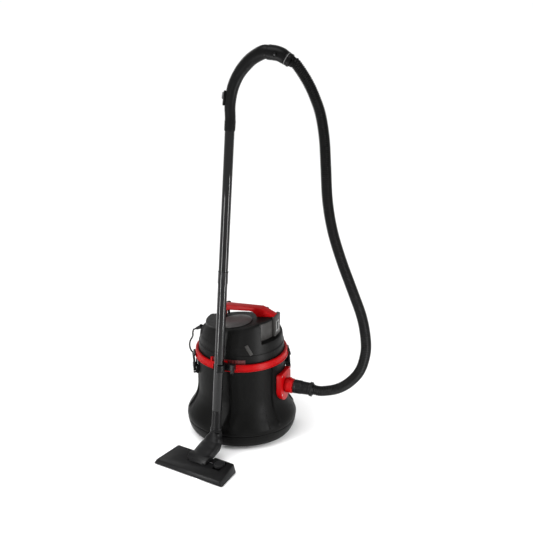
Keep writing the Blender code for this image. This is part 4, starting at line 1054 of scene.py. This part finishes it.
def make_connector():
    """The bent fitting at the grip's end: a full barrel and a hump on top."""
    bend = [from_drum(*p) for p in CONNECTOR_LINE]
    line = smooth_route(bend, 0.003)
    total = length_of(line)
    sizes = [(0.0, 0.0490, 0.0470), (0.003, 0.0505, 0.0482), (0.020, 0.0500, 0.0480),
             (0.042, 0.0470, 0.0465), (total - 0.003, 0.0440, 0.0450), (total, 0.0425, 0.0435)]
    body = sweep("connector_body", line, lambda i, d: oval(*between(sizes, d), 40, 2.2))
    dress(smooth(body, 40), TRIM, "wand", ["hose_connector"])

    up = Vector((0, 0, 1))
    ridge = [p + up * 0.0112 for p in line if (p - line[0]).length < 0.046]
    reach = length_of(ridge)
    humps = [(0.0, 0.0270, 0.0200), (0.012, 0.0280, 0.0232), (0.026, 0.0270, 0.0232),
             (reach - 0.004, 0.0235, 0.0150), (reach, 0.0180, 0.0070)]
    hump = sweep("connector_hump", ridge, lambda i, d: oval(*between(humps, d), 32, 2.6))
    dress(smooth(bevelled(hump, 0.0015, 2, 50), 40), TRIM, "wand")

    pin = middle("connector_pin")
    out = Vector((0, -1, 0))
    seat = lathe("pin_seat", rounded([(0.0040, 0.0040), (0.0062, 0.0040), (0.0072, 0.0028),
                                      (0.0076, -0.0060), (0.0040, -0.0060)], 0.0005),
                 directions(12), place=standing(pin - out * 0.0022, out), closed=True)
    dress(smooth(seat, 40), TRIM, "wand")
    dome = lathe("pin_head", [(0.0, 0.0020), (0.0020, 0.0017), (0.0035, 0.0008), (0.0039, -0.0010),
                              (0.0, -0.0010)], directions(15), place=standing(pin - out * 0.0006, out))
    dress(smooth(dome, 50), GREY_DARK, "wand", ["connector_pin"])


def make_collar():
    length = 0.0206
    profile = rounded([(0.0188, 0.0002), (0.0222, 0.0002), (0.0228, 0.0030), (0.0214, 0.0046),
                       (0.0214, 0.0120), (0.0222, 0.0134), (0.0220, 0.0180), (0.0200, length),
                       (0.0188, length)], 0.0006)
    collar = lathe("swivel_collar_finish", profile, directions(7.5),
                   place=standing(COLLAR_START + COLLAR_DIRECTION * 0.0003, COLLAR_DIRECTION), closed=True)
    dress(smooth(collar, 35), TRIM, "collar", ["swivel_collar"])
    rim = lathe("collar_rim", rounded([(0.0215, 0.0050), (0.0224, 0.0050), (0.0226, 0.0066),
                                       (0.0215, 0.0070)], 0.0003),
                directions(7.5), place=standing(COLLAR_START, COLLAR_DIRECTION), closed=True)
    dress(smooth(rim, 35), GREY, "collar")


# ---------------------------------------------------------------- floor head
def on_nozzle(across, back, height):
    """A point from below the barrel: along the floor head, behind it and above the floor."""
    foot = Vector((BARREL.x, BARREL.y, 0))
    return foot + ACROSS * across + BACK * back + Vector((0, 0, height))


NOZZLE_TURN = Matrix((ACROSS, BACK, Vector((0, 0, 1)))).transposed().to_4x4()


def make_elbow():
    """The hooded arm: a round collar at the neck that widens into a hood over the barrel."""
    start = on_wand(0.0136)
    route = [start, on_wand(0.006), on_nozzle(0, 0.0700, 0.0580), on_nozzle(0, 0.0480, 0.0480),
             on_nozzle(0, 0.0240, 0.0405), on_nozzle(0, 0.0020, 0.0345),
             on_nozzle(0, -0.0160, 0.0290), on_nozzle(0, -0.0265, 0.0262)]
    line = smooth_route(route, 0.004)
    total = length_of(line)
    sizes = [(0.0, 0.0392, 0.0392, 2.0), (0.010, 0.0440, 0.0410, 2.2), (0.030, 0.0620, 0.0430, 2.6),
             (0.055, 0.0740, 0.0430, 2.9), (0.080, 0.0765, 0.0400, 3.0),
             (total - 0.026, 0.0750, 0.0340, 3.0), (total - 0.010, 0.0690, 0.0220, 2.8),
             (total, 0.0560, 0.0070, 2.4)]

    def section(i, distance):
        width, height, power = between(sizes, distance)
        return [(u, v) for u, v in oval(width, height, 48, power)]

    hood = smooth(sweep("elbow_hood", line, section, side=ACROSS), 40)
    dress(hood, TRIM, "neck_elbow", ["elbow"])
    half = 0.0388
    barrel = rod("elbow_barrel", 0.0233, BARREL - ACROSS * half, BARREL + ACROSS * half, 64)
    bevelled(barrel, 0.0025, 3)
    dress(smooth(barrel), TRIM, "neck_elbow")


def make_nozzle():
    body = refined("nozzle_body", 0.0032, 4, 28)
    dress(body, TRIM, "floor_head")
    dress(refined("sole_plate", 0.0005, 1), STEEL, "floor_head")
    dress(refined("pedal", 0.0024, 4), PANEL_DARK, "foot_pedal")
    for node in ("brush_front", "brush_rear"):
        make_brush(node)


def make_brush(node):
    """A strip of bristle tufts under a thin holder."""
    centre = middle(node)
    tufts = []
    for k in range(40):
        at = centre + ACROSS * (k - 19.5) * 0.00595
        top, foot = Vector((at.x, at.y, 0.0100)), Vector((at.x, at.y, 0.0012))
        tufts.append(rod("tuft", 0.0017, top, foot, 8, 0.0021))
    holder = block("holder", (0.2400, 0.0042, 0.0050), Vector((0, 0, 0)), NOZZLE_TURN)
    holder.data.transform(Matrix.Translation((centre.x, centre.y, 0.0124)))
    dress(smooth(joined(node + "_bristles", tufts + [holder]), 40), BRISTLE, "brushes", [node])


# ---------------------------------------------------------------- lead, plug and hidden pieces
def make_soft_lines():
    hose, hose_line, hose_length = make_hose()
    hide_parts("hose")
    hose.parent = None
    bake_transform(hose)

    line, centre = make_cord()
    cord = sweep("mains_lead", line, lambda i, d: oval(SEEN_DIAMETER, SEEN_DIAMETER, 12))
    dress(smooth(cord, 60), RUBBER, "drum", ["power_cord", "cord_coil"])
    plug = refined("plug", 0.0010, 2)
    dress(plug, RUBBER, "drum")
    tie = make_tie(centre)


def dress_hidden_nodes():
    """The pieces inside the head and drum keep their CAD shape."""
    for node, material in (("motor", ALLOY), ("impeller", STEEL), ("fan_housing", GREY),
                           ("filter_cage", GREY), ("filter_sleeve", FOAM), ("float_ball", RED),
                           ("head_base", BODY), ("tank_gasket", RUBBER), ("inlet_deflector", BODY),
                           ("latch_pin_left", STEEL), ("latch_pin_right", STEEL),
                           ("barrel_pin", STEEL)):
        dress_node(node, material)


make_camera()
make_studio()
make_soft_lines()
make_tank()
make_base()
make_casters()
make_band()
make_latches()
make_clip()
make_head()
make_cap()
make_handle()
make_switch()
make_hooks()
make_gland()
make_inlet()
make_cuff()
tube_top = make_tubes()
make_neck()
make_grip(tube_top)
make_shutter()
make_connector()
make_collar()
make_elbow()
make_nozzle()
dress_hidden_nodes()
